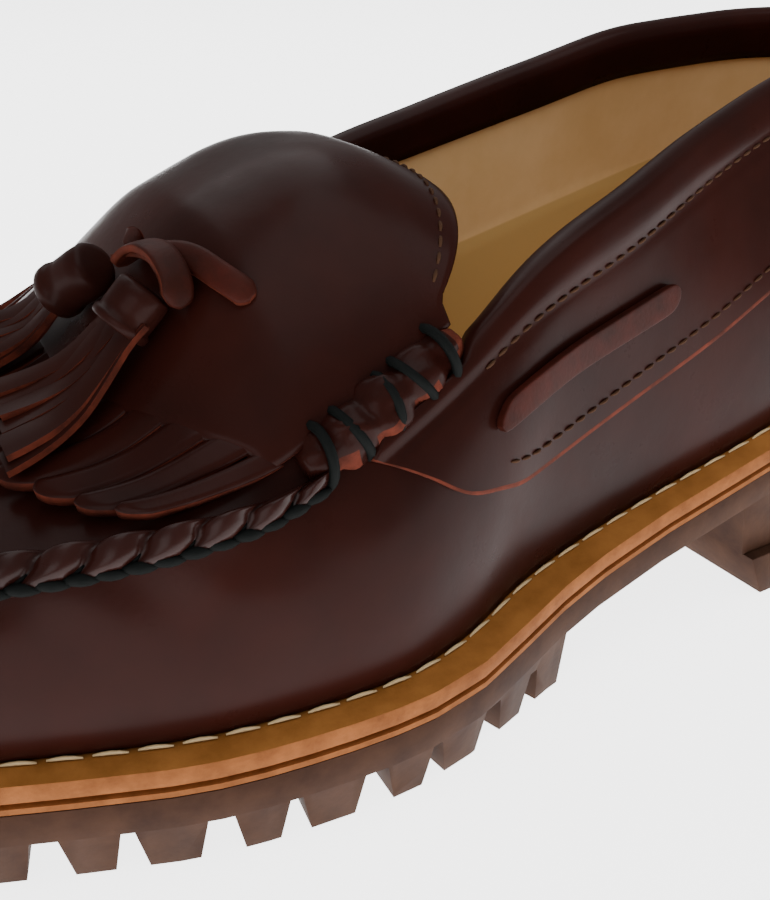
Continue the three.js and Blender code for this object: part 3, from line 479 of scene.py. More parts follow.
def lower_part_of(material, colour, edge_height, climb):
    """Turns a finish into another colour below a line that climbs towards the heel."""
    tree = material.node_tree
    shader = tree.nodes["Principled BSDF"]
    colour_above = shader.inputs["Base Color"].links[0].from_socket
    place = node(tree, "ShaderNodeTexCoord").outputs["Object"]
    levelled = node(tree, "ShaderNodeMapping", {"Rotation": (-math.atan(climb), 0, 0)}, {"Vector": place})
    parts = node(tree, "ShaderNodeSeparateXYZ", (), {"Vector": levelled.outputs["Vector"]})
    height = edge_height * math.cos(math.atan(climb)) * MM
    span = {"From Min": height - 0.2 * MM, "From Max": height + 0.2 * MM}
    edge = node(tree, "ShaderNodeMapRange", span, {"Value": parts.outputs["Z"]})
    links = {"Fac": edge.outputs["Result"], "Color2": colour_above}
    mixed = node(tree, "ShaderNodeMixRGB", {"Color1": (*linear(colour), 1)}, links)
    tree.links.new(mixed.outputs["Color"], shader.inputs["Base Color"])


# Polished outside, a raw red-brown core where it is cut, and a pale calf lining painted a darker gold below a
# line: partly the lower lining's own tone, partly painted shade deep inside the shoe
burgundy = polished_leather("polished_burgundy_leather")
raw_edge = flat_leather("cut_red_brown_leather", "#58261a", "#381810", 0.75, 3.846, 0.4)
lining_calf = flat_leather("tan_calf_lining", "#f0cb98", "#e2ba82", 0.6, 40.0, 0.1)
lining_edge, waist, heel_seat = 26.0, 10.0, 60.0
lining_climb = float(welt_top(heel_seat) - welt_top(waist)) / (heel_seat - waist)
edge_at_middle = float(welt_top(waist)) + lining_edge - waist * lining_climb
# The darker gold below the line is partly painted shade deep inside the shoe and partly the tone of the lower
# lining that begins there
lower_part_of(lining_calf, "#cfaa6c", edge_at_middle, lining_climb)

pleat_pitch = 6.6


def seam_run(w_start, w_end, pitch, path):
    """Places along a path of w that lie a pitch apart."""
    fine = np.linspace(w_start, w_end, 4000)
    steps = np.linalg.norm(np.diff(path(fine), axis=0), axis=1)
    run = np.concatenate([[0], np.cumsum(steps)])
    count = max(1, round(run[-1] / pitch))
    return np.interp(np.linspace(0, run[-1], count + 1), run, fine)


upper_columns = np.linspace(0, 2, 361)[:-1]
upper_rows = np.concatenate([np.linspace(0, 0.9, 26), np.linspace(0.92, 1, 6), np.linspace(1.03, 2, 18)])
w_grid, s_grid = np.meshgrid(upper_columns, upper_rows, indexing="ij")
upper_face = skin(w_grid, s_grid)
face_out = grid_out(upper_face, True)
open_top = turned(w_grid)[1] >= throat_angle
collapsed = open_top & (s_grid >= 1)
face_out[collapsed] = outward(w_grid, np.full_like(w_grid, 0.99))[collapsed]
y_grid = upper_face[..., 1]

# The puckers under the seam fade out behind the ball. Each fold has a depth, a slant, a place and a width
puckers = np.sin(y_grid * 2 * np.pi / (pleat_pitch * 1.9) + 5 * s_grid) * bump(s_grid, 0.86, 0.16)
ripple = puckers * 0.22 * soft(-y_grid, 25, 45)
fold_rows = [
    (-0.45, 12, -30, 4.5),
    (0.3, 12, -37, 4.5),
    (-0.4, 9, -48, 5.0),
    (0.3, 9, -56, 5.0),
    (-0.35, 6, -67, 5.5),
]
ball_folds = bump(s_grid, 0.6, 0.25) * sum(
    depth * bump(y_grid + slant * s_grid, place, width) for depth, slant, place, width in fold_rows
)
lip = -0.35 * bump(s_grid, 0.0, 0.05)
upper_outer = upper_face + face_out * ((ripple + ball_folds) * (s_grid < 1.2) + lip)[..., None]
under_edge = soft(lining_edge - (upper_face[..., 2] - welt_top(upper_face[..., 1])), 0.0, 0.6)
upper_inner = upper_face - face_out * (upper_wall + 0.5 * under_edge)[..., None]
points, faces, kinds = layer_of(upper_outer, upper_inner, True)
upper = piece_of("upper_shell", points, faces, [burgundy, lining_calf], [(0, 1, 0, 1)[k] for k in kinds])
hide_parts("upper")

# Quarter
# A second layer of the same leather round the heel. It is cut with a raw lower edge, sewn down above
# it, and turned over a thin pad along the collar, so the top line is round and full.
quarter_start = float(angle_of(quarter_edge["at"][0]))
quarter_w = np.concatenate([np.linspace(quarter_start, 1, 171), np.linspace(1, 2 - quarter_start, 171)[1:]])


def collar_stitch_drop(w):
    """How far the collar's stitches lie below the top line, most at the waist of the shoe."""
    return 5 + 1.5 * bump(turned(w)[1], 0.53, 0.06)


def quarter_lower(w):
    return sample(quarter_edge, "height", share_of(turned(w)[1]))


def quarter_path(w, gap, padded_gap):
    lower = quarter_lower(w)
    height = top_point(w)[:, 2] - skin(w, 0 * w)[:, 2]
    legs = np.concatenate([[0, 0.025], np.linspace(0.08, 1, 20)])[None, :]
    s = lower[:, None] + (0.97 - lower[:, None]) * legs
    drop = (1 - s) * height[:, None]
    sewn_at = collar_stitch_drop(w)[:, None]
    pad = padded_gap * (0.75 * soft(sewn_at - drop, 0.0, 2.5) - 0.35 * bump(drop, sewn_at, 0.8))
    wide = np.repeat(w[:, None], s.shape[1], 1)
    wall = wall_point(wide, s, gap + pad)
    open_here = (turned(w)[1] >= throat_angle)[:, None, None]
    up = skin(w, 0 * w + 1) - skin(w, 0 * w + 0.98)
    up /= np.linalg.norm(up, axis=-1, keepdims=True)
    out = outward(w, 0 * w + 0.97)
    centre = wall_point(w, 0 * w + 1, -upper_wall / 2)
    turn = np.linspace(0, np.pi, 12)[None, :, None]
    radius = upper_wall / 2 + gap + padded_gap * 0.55
    lift = radius * np.sin(turn) * 0.95 + 0.1
    roll = centre[:, None] + out[:, None] * radius * np.cos(turn) + up[:, None] * lift
    inside = -upper_wall - gap - 0.1
    fold = np.stack([wall_point(w, 0 * w + share, inside) for share in (0.955, 0.92, 0.885)], 1)
    tail = np.where(open_here, np.concatenate([roll, fold], 1), np.repeat(wall[:, -1:], 15, 1))
    return np.concatenate([wall, tail], 1)


quarter_near = clearance * 1.4
quarter_outer = quarter_path(quarter_w, quarter_near + quarter_leather, 1.0)
quarter_inner = quarter_path(quarter_w, quarter_near, 0.0)
points, faces, kinds = layer_of(quarter_outer, quarter_inner, False)
quarter_rows = quarter_outer.shape[1]
lower_row = [k == 2 or (k == 0 and f[0] % quarter_rows == 0) for f, k in zip(faces, kinds)]
quarter = piece_of("quarter_leather", points, faces, [burgundy, raw_edge], [int(raw) for raw in lower_row])
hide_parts("quarter")


def stitches(name, path, out, pitch_share, thickness, material, rise=0.35, twist=0.0, step=1):
    """Short round-ended lengths of thread from one point of a path to the next, dipping in at both ends."""
    sides, rings = 6, 5
    points, faces = [], []
    for k in range(0, len(path) - 1, step):
        a, b = path[k], path[k + 1]
        start, end = a + (b - a) * (0.5 - pitch_share / 2), a + (b - a) * (0.5 + pitch_share / 2)
        up = out[k] / np.linalg.norm(out[k])
        along = (end - start) / np.linalg.norm(end - start)
        across = np.cross(along, up)
        start, end = start - across * twist, end + across * twist
        base = len(points)
        for r in range(rings):
            t = r / (rings - 1)
            round_here = math.sin(math.pi * (0.08 + 0.84 * t)) ** 0.5
            centre = start + (end - start) * t + up * thickness * (rise + 0.35 * math.sin(math.pi * t) - 0.3)
            for side in range(sides):
                turn = 2 * math.pi * side / sides
                spoke = across * math.cos(turn) + up * math.sin(turn)
                points.append(centre + spoke * thickness / 2 * round_here)
        for r in range(rings - 1):
            for side in range(sides):
                n = (side + 1) % sides
                low, high = base + r * sides, base + (r + 1) * sides
                faces.append((low + side, low + n, high + n, high + side))
        faces.append(tuple(base + side for side in range(sides))[::-1])
        faces.append(tuple(base + (rings - 1) * sides + side for side in range(sides)))
    piece = piece_of(name, points, faces, [material])
    normals_out()
    return piece


# Dull spun threads: brown for the leather's own seams, waxed black for the pleats, cream for the welt
brown_thread, _, _ = finish("brown_linen_thread", "#3d281b", 0.8)
black_thread, _, _ = finish("waxed_black_thread", "#0a0c0b", 0.75)
cream_thread, _, _ = finish("cream_linen_thread", "#c9ae84", 0.75)
stitch_pitch, stitch_share, stitch_thickness = 2.7, 0.72, 0.55


def collar_row(w):
    height = top_point(w)[:, 2] - skin(w, 0 * w)[:, 2]
    return 1 - collar_stitch_drop(w) / height


def lower_row_of(w):
    return quarter_lower(w) + 0.075


sewn_rows = {
    "collar_stitches": (collar_row, throat_angle + 0.012, quarter_leather - 0.25),
    "quarter_stitches": (lower_row_of, float(angle_of(0.47)), quarter_leather + 0.02),
}
for side_name in ("outer", "inner"):
    for row_name, (row, row_start, lift) in sewn_rows.items():
        run = seam_run(row_start, 1 - 1e-6, stitch_pitch, lambda w: wall_point(w, row(w), 2))
        run = 2 - run if side_name == "inner" else run
        path = wall_point(run, row(run), quarter_near + lift)
        out = outward(run, row(run))
        sewn = stitches(f"{row_name}_{side_name}", path, out, stitch_share, stitch_thickness, brown_thread)

# Kiltie
# One piece of the burgundy leather over the instep. Its back edge is the round tongue, sewn a short
# way in, and its front is cut into overlapping leaves whose cut edges show the red-brown middle.
kiltie_rise, kiltie_margin = clearance * 2, 3.4
tongue_tip, tongue_round, half_span = 2.5, 12.5, 37.0
kiltie_top = kiltie_rise + kiltie_leather


def kiltie_x(q, y):
    at = (y - top_start) / top_span
    share = np.where(q > 0, sample(top_line, "lateral", at), sample(top_line, "medial", at))
    return q * (share * ball_width - kiltie_margin) - axis_shift


def tongue_end(q):
    reach = np.minimum(1, abs(q * half_span + 2) / half_span)
    return tongue_tip + 0.5 - (tongue_round - 2.5) * reach**2.4 - 4 * reach**14


leaf_edges = [0.0, 0.14, 0.29, 0.43, 0.585, 0.735, 0.865, 0.965, 1.03]
leaf_tips = [-72.0, -71.8, -71.5, -71.0, -69.6, -66.5, -63.0, -59.2]
leaf_roots = [-56.5, -56.3, -55.8, -54.8, -52.8, -49.8, -46.4, -42.3, -41.0]


def fringe_root_at(q):
    return np.interp(abs(q), leaf_edges, leaf_roots)


def sheet_over(q_from, q_to, columns, rows, front, back, lift):
    """The top and underside of leather on the instep, from its front edge to its back edge."""
    q = np.linspace(q_from, q_to, columns)[:, None] * np.ones((1, rows))
    t = np.linspace(0, 1, rows)[None, :] * np.ones((columns, 1))
    y = front(q) + (back(q) - front(q)) * t
    x = kiltie_x(q, y)
    rise = lift(q, t)
    from_ends = np.minimum(t, 1 - t) * rows / 2.5
    from_sides = np.minimum(q - q_from, q_to - q) / (q_to - q_from) * columns / 2.5
    rounded = np.minimum(1, np.minimum(from_ends, from_sides))
    return instep_point(x, y, rise), instep_point(x, y, rise + kiltie_leather * (0.8 + 0.2 * rounded))


def body_lift(q, t):
    """Gentle waves towards the fringe, and a dip at the front edge, which goes in under the leaves."""
    return kiltie_rise + 0.12 * np.sin(9 * q + 5 * t) * (1 - t) - 0.45 * np.exp(-t / 0.025)


under, over = sheet_over(-1, 1.02, 100, 90, fringe_root_at, tongue_end, body_lift)
points, faces, kinds = layer_of(over, under, False)
kiltie = piece_of("kiltie_leather", points, faces, [burgundy, raw_edge], [(0, 1, 1, 1)[k] for k in kinds])
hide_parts("kiltie")

for side_name, side in (("outer", 1), ("inner", -1)):
    for k, tip in enumerate(leaf_tips):
        near_q, far_q = leaf_edges[k] + 0.004, leaf_edges[k + 1] - 0.004
        middle, reach = (near_q + far_q) / 2, (far_q - near_q) / 2
        curl = 0.85 + 0.25 * ((k * 5) % 3)
        q_ends = (near_q, far_q) if side > 0 else (-far_q, -near_q)

        def leaf_front(q):
            across = (abs(q) - middle) / reach
            return tip + 2.2 * abs(across) ** 2.5 + 1.2 * across

        def leaf_back(q):
            return fringe_root_at(q) + 2.5

        def leaf_lift(q, t):
            across = (abs(q) - middle) / reach
            return kiltie_rise - 0.4 * t**6 + (1 - t) ** 1.3 * (curl - across * 0.5)

        under, over = sheet_over(*q_ends, 14, 34, leaf_front, leaf_back, leaf_lift)
        points, faces, kinds = layer_of(over, under, False)
        of_face = [(0, 1, 1, 1)[kind] for kind in kinds]
        leaf = piece_of(f"fringe_leaf_{side_name}_{k + 1}", points, faces, [burgundy, raw_edge], of_face)

stitch_inset = 3.5
tongue_q = np.linspace(-0.93, 0.93, 2000)
tongue_y = tongue_end(tongue_q) - stitch_inset
tongue_path = instep_point(kiltie_x(tongue_q, tongue_y), tongue_y, kiltie_top)
run = np.concatenate([[0], np.cumsum(np.linalg.norm(np.diff(tongue_path, axis=0), axis=1))])
holes = np.interp(np.arange(0, run[-1], 3.0), run, tongue_q)
hole_y = tongue_end(holes) - stitch_inset
hole_x = kiltie_x(holes, hole_y)
tongue_path = instep_point(hole_x, hole_y, kiltie_top - 0.05)
tongue_out = instep_point(hole_x, hole_y, 1) - instep_point(hole_x, hole_y, 0)
tongue_thread = stitches("tongue_stitches", tongue_path, tongue_out, 0.7, 0.6, brown_thread)

# Moccasin seam
# The wall is gathered to the apron by hand: a row of puckered pleats, with a thick waxed black thread
# laid along their foot and a short loop of it in the dip between each two.
seam_share = 0.33


def ridge_point(w, across, lift):
    """A point round the seam: across is below 0 down the wall and above 0 over the apron."""
    w, across, lift = np.broadcast_arrays(*(np.asarray(value, float) for value in (w, across, lift)))
    top = top_point(w)
    height = top[..., 2] - skin(w, 0 * w)[..., 2]
    on_wall = wall_point(w, 1 + np.minimum(across, -0.3) / height, lift)
    step = skin(w, 0 * w + 1.08)[..., :2] - top[..., :2]
    step /= np.linalg.norm(step, axis=-1, keepdims=True)
    reach = np.maximum(across, 0.3)
    on_apron = instep_point(top[..., 0] + step[..., 0] * reach, top[..., 1] + step[..., 1] * reach, lift)
    mix = soft(across, -0.9, 0.9)[..., None]
    return on_wall * (1 - mix) + on_apron * mix


seam_end = float(angle_of(seam_share))
seam_holes = seam_run(-seam_end, seam_end, pleat_pitch, top_point)
per_pleat = 10
phase = np.arange((len(seam_holes) - 1) * per_pleat + 1) / per_pleat
fine_w = np.interp(phase, np.arange(len(seam_holes)), seam_holes)
pleat = np.abs(np.sin(np.pi * phase)) ** 0.6
across = np.linspace(-2.9, 4.1, 20)[None, :]
profile = np.cos((across - 0.6) / 3.55 * np.pi / 2).clip(0) ** 0.6
ridge_lift = 0.3 + profile * (0.7 + 2.2 * pleat[:, None])
ridge_w = np.repeat(fine_w[:, None], across.shape[1], 1) - 0.0006 * across
ridge_outer = ridge_point(ridge_w, across + 0 * ridge_w, ridge_lift)
ridge_inner = ridge_point(ridge_w, across + 0 * ridge_w, 0.1)
points, faces, kinds = layer_of(ridge_outer, ridge_inner, False)

# The same leather, rubbed brighter where the pleats stand proud
pleat_polish = polished_leather("polished_pleat_leather", gloss=0.18)
moc_seam = piece_of("puckered_seam", points, faces, [pleat_polish])
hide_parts("moc_seam")

thread_w = seam_run(-seam_end, seam_end, pleat_pitch / 2, top_point)
thread_path = ridge_point(thread_w, -2.1 + 0 * thread_w, 1.35)
thread_out = outward(thread_w, 0 * thread_w + 0.9)
sewn = stitches("seam_thread", thread_path, thread_out, 1.25, 1.7, black_thread, 0.3, 0.3)
loop_ends = np.array([-2.2, -2.2 + 4.6 / 3])
loop_lift = 1.15 - 0.12 * abs(loop_ends - 0.3)
loop_path = np.concatenate([ridge_point(hole, loop_ends, loop_lift) for hole in seam_holes])
loop_out = np.repeat(outward(seam_holes, 0 * seam_holes + 0.97), 2, 0)
loops = stitches("seam_loops_low", loop_path, loop_out, 1.15, 0.9, black_thread, step=2)

# Beef rolls
# At each corner of the throat the seam's leather is rolled up thick, gathered and bound with five
# loops of the black thread. The roll's end and its worn folds show red-brown.
roll_radius, roll_inset, roll_lift = 4.6, 1.4, 2.3
roll_start, roll_end, roll_ribs, roll_sides = 0.313, 0.417, 48, 24
gathers = (0.16, 0.4, 0.63, 0.85)
binding = {"place": (0.1, 0.3, 0.52, 0.7, 0.88), "lean": (1.2, -0.6, 1.3, -0.9, 0.7)}
binding_radius = 0.72


def roll_frame(share, side):
    """A place on the roll's middle line, with the ways along it, out and up."""
    w = angle_of(share)
    w = w if side > 0 else 2 - w
    centre = top_point(w) + np.array([-side * roll_inset, 0, roll_lift])
    along = top_point(w + 0.01) - top_point(w - 0.01)
    along = along / np.linalg.norm(along) * side
    out = np.array([side, 0, 0]) - along * side * along[0]
    out /= np.linalg.norm(out)
    return centre, along, out, np.cross(out, along) * side


def round_turns(count):
    return np.linspace(0, 2 * np.pi, count + 1)[:-1]


def tube_faces(rings, sides):
    """Faces of a tube of rings with flat ends."""
    faces = [
        (r * sides + k, r * sides + (k + 1) % sides, (r + 1) * sides + (k + 1) % sides, (r + 1) * sides + k)
        for r in range(rings - 1)
        for k in range(sides)
    ]
    return faces + [tuple(range(sides))[::-1], tuple(range((rings - 1) * sides, rings * sides))]


def ring_thread(ring, centre, radius, base, tube=6):
    """Points and faces of a closed loop of round thread through a ring of places."""
    points, faces, count = [], [], len(ring)
    for k in range(count):
        tangent = ring[(k + 1) % count] - ring[k - 1]
        tangent /= np.linalg.norm(tangent)
        away = ring[k] - centre
        away -= tangent * np.dot(away, tangent)
        away /= np.linalg.norm(away)
        beside = np.cross(tangent, away)
        for n in range(tube):
            turn = 2 * math.pi * n / tube
            points.append(ring[k] + (away * math.cos(turn) + beside * math.sin(turn)) * radius)
            here, there, m = base + k * tube, base + (k + 1) % count * tube, (n + 1) % tube
            faces.append((here + n, there + n, there + m, here + m))
    return points, faces


for side_name, side in (("outer", 1), ("inner", -1)):
    ribs = []
    turns = round_turns(roll_sides)
    for t in np.linspace(0, 1, roll_ribs):
        centre, along, out, up = roll_frame(roll_start + (roll_end - roll_start) * t, side)
        full = min(1, (math.sin(math.pi * (t * 0.96 + 0.02)) + 0.02) ** 0.32)
        bound = 1 - 0.13 * sum(bump(t, place, 0.035) for place in gathers)
        wrinkles = 1 + 0.07 * np.sin(turns * 3 + t * 19) + 0.05 * np.sin(turns * 7 + t * 31)
        size = (roll_radius * full * bound * wrinkles)[:, None]
        ribs.append(centre + out * size * np.cos(turns)[:, None] + up * size * np.sin(turns)[:, None])
    faces = tube_faces(roll_ribs, roll_sides)
    worn_sides = (21, 22, 23)
    red = []
    for face in faces:
        rib, way = divmod(face[0], roll_sides)
        red.append(int(rib > 44 or (way in worn_sides and rib % 12 > 4)))
    roll_name = f"beef_roll_leather_{side_name}"
    roll = piece_of(roll_name, np.concatenate(ribs), faces, [burgundy, raw_edge], red)
    normals_out()
    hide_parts(f"beef_roll_{side_name}")
    points, faces = [], []
    turns = round_turns(20)
    reach = roll_radius * 0.93
    for place, lean in zip(binding["place"], binding["lean"]):
        centre, along, out, up = roll_frame(roll_start + (roll_end - roll_start) * place, side)
        sine, cosine = np.sin(turns)[:, None], np.cos(turns)[:, None]
        ring = centre + along * side * lean * sine + out * reach * cosine + up * reach * sine
        more_points, more_faces = ring_thread(ring, centre, binding_radius, len(points))
        points += more_points
        faces += more_faces
    bound_thread = piece_of(f"roll_thread_{side_name}", points, faces, [black_thread])

# Laces
# Flat red-brown lace with rubbed cut edges. It runs along each quarter through two slits, and its ends
# are tied in a half knot over the tassels' caps.
lace_leather = flat_leather("red_brown_lace_leather", "#3a140d", "#260e09", 0.5, 7.143, 0.25)


def copy_of(name, cad_name, materials):
    """A merged copy of a solid in quads, ready for its modifiers, which stands for the solid."""
    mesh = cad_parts[cad_name].data.copy()
    piece = bpy.data.objects.new(name, mesh)
    bpy.context.scene.collection.objects.link(piece)
    mesh.materials.clear()
    for material in materials:
        mesh.materials.append(material)
    bpy.ops.object.select_all(action="DESELECT")
    piece.select_set(True)
    bpy.context.view_layer.objects.active = piece
    if mesh.has_custom_normals:
        bpy.ops.mesh.customdata_custom_splitnormals_clear()
    bpy.ops.object.mode_set(mode="EDIT")
    bpy.ops.mesh.select_all(action="SELECT")
    bpy.ops.mesh.remove_doubles(threshold=2e-6)
    bpy.ops.mesh.tris_convert_to_quads(face_threshold=math.radians(30), shape_threshold=math.radians(60))
    bpy.ops.object.mode_set(mode="OBJECT")
    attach(piece, "root")
    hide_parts(cad_name)
    return piece


def add_and_apply(piece, kind, **settings):
    modifier = piece.modifiers.new(kind.lower(), kind)
    for key, value in settings.items():
        setattr(modifier, key, value)
    bpy.ops.object.select_all(action="DESELECT")
    piece.select_set(True)
    bpy.context.view_layer.objects.active = piece
    bpy.ops.object.modifier_apply(modifier=modifier.name)


for cad_name in ("lace_bar_outer", "lace_bar_inner"):
    lace = copy_of(f"{cad_name}_leather", cad_name, [lace_leather, raw_edge])
    edges = {"width": 0.3 * MM, "segments": 2, "limit_method": "ANGLE", "angle_limit": math.radians(50)}
    add_and_apply(lace, "BEVEL", **edges)
    add_and_apply(lace, "SUBSURF", levels=2, render_levels=2)
    bpy.ops.object.shade_smooth()

knot_core = np.array([11.6, -44.2, 71.5])


def ribbon(name, route, width, thickness, facing):
    """A flat lace through a few places, with rounded edges and ends."""
    route = np.array(route, float)
    steps = np.linalg.norm(np.diff(route, axis=0), axis=1)
    run = np.concatenate([[0], np.cumsum(steps)])
    t = np.linspace(0, run[-1], 40)
    smoothed = np.stack([np.interp(t, run, route[:, k]) for k in range(3)], -1)
    for _ in range(12):
        smoothed[1:-1] = (smoothed[:-2] + 2 * smoothed[1:-1] + smoothed[2:]) / 4
    out = facing(smoothed)
    along = np.gradient(smoothed, axis=0)
    across = np.cross(along, out)
    across /= np.linalg.norm(across, axis=-1, keepdims=True)
    from_ends = np.minimum(t, run[-1] - t) / (width * 0.35)
    ends = np.minimum(1, from_ends + 0.12) ** 0.5
    v = np.linspace(-1, 1, 9)
    spread = smoothed[:, None] + across[:, None] * (v[None, :, None] * width / 2 * ends[:, None, None])
    dome = thickness * (0.72 + 0.28 * np.sqrt(1 - 0.98 * v**2))[None, :, None]
    points, faces, kinds = layer_of(spread + out[:, None] * dome, spread + 0 * dome, False)
    of_face = [(0, 1, 1, 1)[kind] for kind in kinds]
    piece = piece_of(name, points, faces, [lace_leather, raw_edge], of_face)
    normals_out()
    return piece


def away_from_core(points):
    out = points - knot_core
    return out / np.linalg.norm(out, axis=-1, keepdims=True)


def square_to_instep(points):
    x, y = points[:, 0], points[:, 1]
    return instep_point(x, y, 1) - instep_point(x, y, 0)


def tab_facing(points):
    return np.tile([0.75, -0.5, 0.43], (len(points), 1))


arch_route = [
    (5.0, -46.4, 73.6),
    (6.2, -45.8, 75.2),
    (7.6, -45.1, 76.4),
    (10.3, -44.4, 77.4),
    (14.0, -43.9, 77.1),
    (17.0, -43.7, 75.4),
    (18.4, -43.8, 73.4),
    (18.6, -44.6, 71.6),
]
bight_route = [
    (2.5, -45.6, 73.9),
    (6.0, -44.6, 75.0),
    (10.0, -43.4, 75.7),
    (14.0, -42.8, 75.2),
    (17.0, -43.2, 73.2),
    (17.6, -44.5, 71.4),
]
# The free end's places over the instep, and how far above the kiltie it lies at each
end_places = [
    (8.5, -39.9, 1.6),
    (12.0, -37.9, 1.1),
    (14.6, -37.0, 0.8),
    (17.9, -36.2, 0.5),
    (20.6, -35.2, 0.35),
    (22.2, -34.4, -0.7),
]
end_route = [instep_point(x, y, kiltie_top + clearance + lift) for x, y, lift in end_places]
tab_route = [(3.6, -44.6, 75.2), (4.2, -44.0, 77.0), (5.0, -43.6, 78.6)]
knot = ribbon("knot_arch", arch_route, 4.4, 1.3, away_from_core)
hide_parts("lace_knot")
ribbon("knot_bight", bight_route, 4.6, 1.2, away_from_core)
lace_end = ribbon("lace_end_leather", end_route, 3.9, 1.3, square_to_instep)
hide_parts("lace_end")
ribbon("knot_tab", tab_route, 2.6, 1.1, tab_facing)

# Tassels
# Each tassel is one strip of leather, slit into narrow strips and rolled up: a wrapped cap with a
# raised lip, and flat strips that fan out, dark on their faces and red-brown on their cut edges.
tassel_dark = polished_leather("dark_tassel_leather", "#1b0b09", "#2a110c", 0.4)
tassel_edge = flat_leather("cut_tassel_edge", "#572417", "#32140d", 0.7, 3.333, 0.3)
cap_radius, cap_sides = 4.1, 32
cap_lift = kiltie_top + cap_radius + clearance
tassels = {
    "near": {"head": (13.8, -42.1), "end": (13.8, -46.6), "tip": (12.5, -68.0), "fan": 21.0},
    "far": {"head": (1.6, -43.8), "end": (-4.4, -48.6), "tip": (-14.5, -67.5), "fan": 20.0},
}
# Along the cap, and its radius there: a flat head with a rounded rim, a waist and a lip
cap_profile = {
    "along": (0.0, 0.0, 0.02, 0.08, 0.3, 0.55, 0.78, 0.8, 0.86, 0.97, 1.0, 1.0),
    "radius": (0.3, 0.6, 0.82, 0.93, 0.96, 0.95, 0.94, 1.0, 1.04, 1.03, 0.98, 0.6),
}
# The strips are spread by a golden turn, so that neighbours in height never lie side by side
strip_count, golden_turn = 19, 0.618
strip_half, strip_thickness = 1.35, 1.0


def strip_of(place, number):
    """Points, faces and kinds of one strip: it leaves the cap, sinks to the leather and fans out."""
    across = -1 + 2 * ((number * golden_turn) % 1)
    lift = 1.0 + 3.4 * number / (strip_count - 1)
    reach = 1.04 - 0.14 * ((number * 7) % 5) / 4
    start, way = np.array(place["end"]), np.array(place["tip"]) - np.array(place["end"])
    turn = math.atan2(way[1], way[0])
    side_way = (-math.sin(turn), math.cos(turn))
    t, v = np.linspace(-0.12, 1, 16)[:, None], np.linspace(-1, 1, 5)[None, :]
    out = np.clip(t, 0, 1)
    narrow = cap_radius * 0.98
    spread = narrow + (place["fan"] / 2 - narrow) * out**0.9
    half = strip_half + 0.45 * t
    off = across * (spread - half) + v * half
    x = start[0] + way[0] * t * reach + side_way[0] * off
    y = start[1] + way[1] * t * reach + side_way[1] * off
    wave = 0.25 * np.sin(4 * t + number * 1.7)
    tilt = 0.4 * v * math.sin(number * 2.3) * t
    sinking = (cap_radius - lift) * (1 - out) ** 2 + 0.95 * out**1.5
    base = kiltie_top + clearance + lift + sinking + wave + tilt - 0.15 * v**2
    top, underside = (instep_point(x, y, base + half_up * strip_thickness / 2) for half_up in (1, -1))
    return layer_of(top, underside, False)


for tassel_name, place in tassels.items():
    head, end = instep_point(*place["head"], cap_lift), instep_point(*place["end"], cap_lift)
    axis = end - head
    along = axis / np.linalg.norm(axis)
    beside = np.cross(along, [0, 0, 1])
    beside /= np.linalg.norm(beside)
    up = np.cross(beside, along)
    turns = round_turns(cap_sides)
    oval = 1 + 0.03 * np.sin(turns * 2 + 1)
    rings = []
    for t, size in zip(cap_profile["along"], cap_profile["radius"]):
        sideways, upward = cap_radius * size * np.cos(turns) * oval, cap_radius * size * np.sin(turns)
        rings.append(head + axis * t + beside * sideways[:, None] + up * upward[:, None])
    faces = tube_faces(len(rings), cap_sides)
    red = [int(face[0] // cap_sides == 10) for face in faces]
    cap_name = f"tassel_cap_{tassel_name}"
    cap = piece_of(cap_name, np.concatenate(rings), faces, [tassel_dark, tassel_edge], red)
    normals_out()
    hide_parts(f"tassel_{tassel_name}")
    points, faces, kinds = [], [], []
    for number in range(strip_count):
        strip_points, strip_faces, strip_kinds = strip_of(place, number)
        faces += [tuple(len(points) + corner for corner in face) for face in strip_faces]
        points += list(strip_points)
        kinds += [(0, 1, 1, 1)[kind] for kind in strip_kinds]
    strips_name = f"tassel_strips_{tassel_name}"
    strips = piece_of(strips_name, points, faces, [tassel_dark, tassel_edge], kinds, smooth=False)
    normals_out()

# Welt, midsole and footbed
# The welt is a strip of ochre leather sewn through with cream thread close to the upper. Its edge and
# the thin layer under it are sanded pale. The footbed is plain gold-brown leather.
welt_ochre = flat_leather("ochre_welt_leather", "#a36c37", "#855528", 0.42, 11.11, 0.15)
sanded_edge = flat_leather("sanded_welt_edge", "#86512b", "#693d1e", 0.75, 5.0, 0.35)
footbed = flat_leather("gold_brown_footbed", "#a67d3c", "#8d672a", 0.55, 33.33, 0.1)
stitch_depth, welt_pitch = -0.2, 5.84


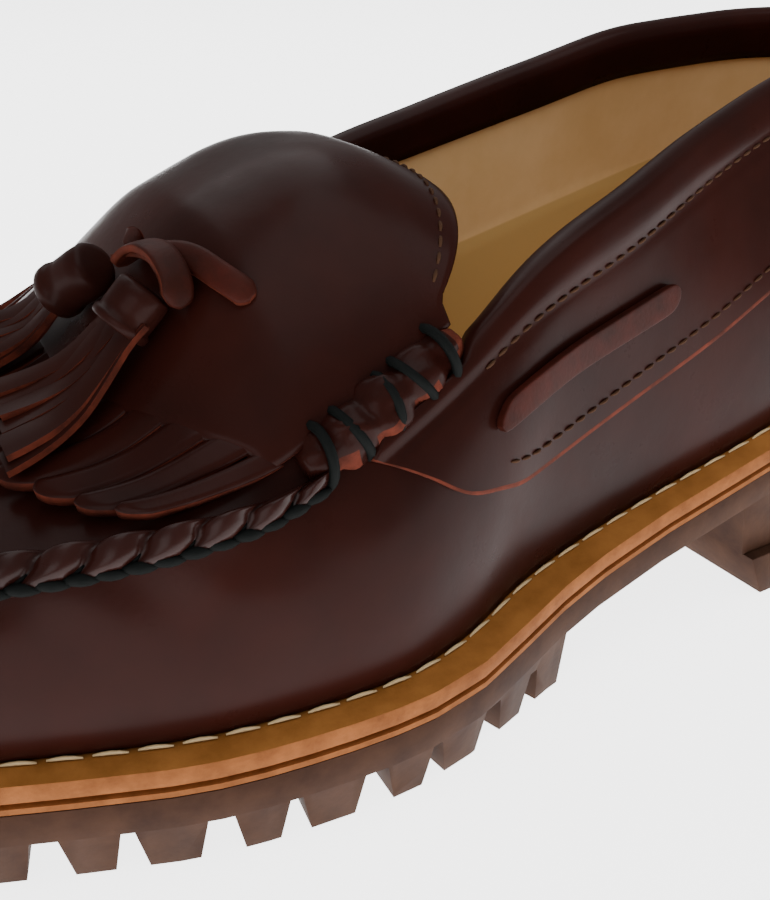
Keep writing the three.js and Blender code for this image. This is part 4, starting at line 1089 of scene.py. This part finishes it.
def smooth_run(piece, crease_from=40):
    """Keeps the sharp edges and turns the outline between them smooth."""
    bpy.ops.object.mode_set(mode="EDIT")
    bpy.ops.mesh.select_all(action="DESELECT")
    bpy.ops.mesh.edges_select_sharp(sharpness=math.radians(crease_from))
    bpy.ops.transform.edge_crease(value=0.85)
    bpy.ops.object.mode_set(mode="OBJECT")
    add_and_apply(piece, "SUBSURF", levels=2, render_levels=2)
    bpy.ops.object.shade_smooth_by_angle(angle=math.radians(35))


welt = copy_of("welt_strip", "welt", [welt_ochre, sanded_edge])
smooth_run(welt)
for polygon in welt.data.polygons:
    polygon.material_index = 1 if abs(polygon.normal.z) < 0.6 else 0
midsole = copy_of("midsole_layer", "midsole", [sanded_edge])
smooth_run(midsole)
insole = copy_of("footbed_leather", "insole", [footbed])
smooth_run(insole)


def welt_line(w, lift):
    """Places over the welt, along the row of its stitches."""
    x, y = foot_edge(w, stitch_depth)
    return np.stack([x, y, welt_top(y) + lift], -1)


welt_w = seam_run(0.0, 2.0, welt_pitch, lambda w: welt_line(w, 0))
upwards = np.tile([0, 0, 1.0], (len(welt_w), 1))
sewn = stitches("welt_stitches", welt_line(welt_w, 0.3), upwards, 0.8, 0.6, cream_thread, 0.3, 0.1)

# Rubber sole and heel
# Moulded brown rubber with a lugged edge, in two layers at the heel. It is matt, with cloudy dust in
# its skin, whose texture is drawn at 1.1 mm, coarser than the real one, so that it shows.
rubber_brown, tree, shader = finish("moulded_brown_rubber", "#38231a", 0.66, 1.45)
place = node(tree, "ShaderNodeTexCoord").outputs["Object"]
dust = noise(tree, place, 8.333, detail=6.0, roughness=0.65)
two_tones(tree, shader, dust, "#2c1a12", "#422b1e", 0.3, 0.75)
rubber_skin = noise(tree, place, 1.111, detail=4.0)
raised = node(tree, "ShaderNodeBump", {"Strength": 0.2, "Distance": 0.2 * MM}, {"Height": rubber_skin})
tree.links.new(raised.outputs["Normal"], shader.inputs["Normal"])
lug_edges = {"width": 0.35 * MM, "segments": 2, "limit_method": "ANGLE", "angle_limit": math.radians(32)}
for cad_name in ("outsole", "heel_top_lift"):
    rubber = copy_of(f"{cad_name}_rubber", cad_name, [rubber_brown])
    add_and_apply(rubber, "BEVEL", **lug_edges)
    bpy.ops.object.shade_smooth_by_angle(angle=math.radians(30))
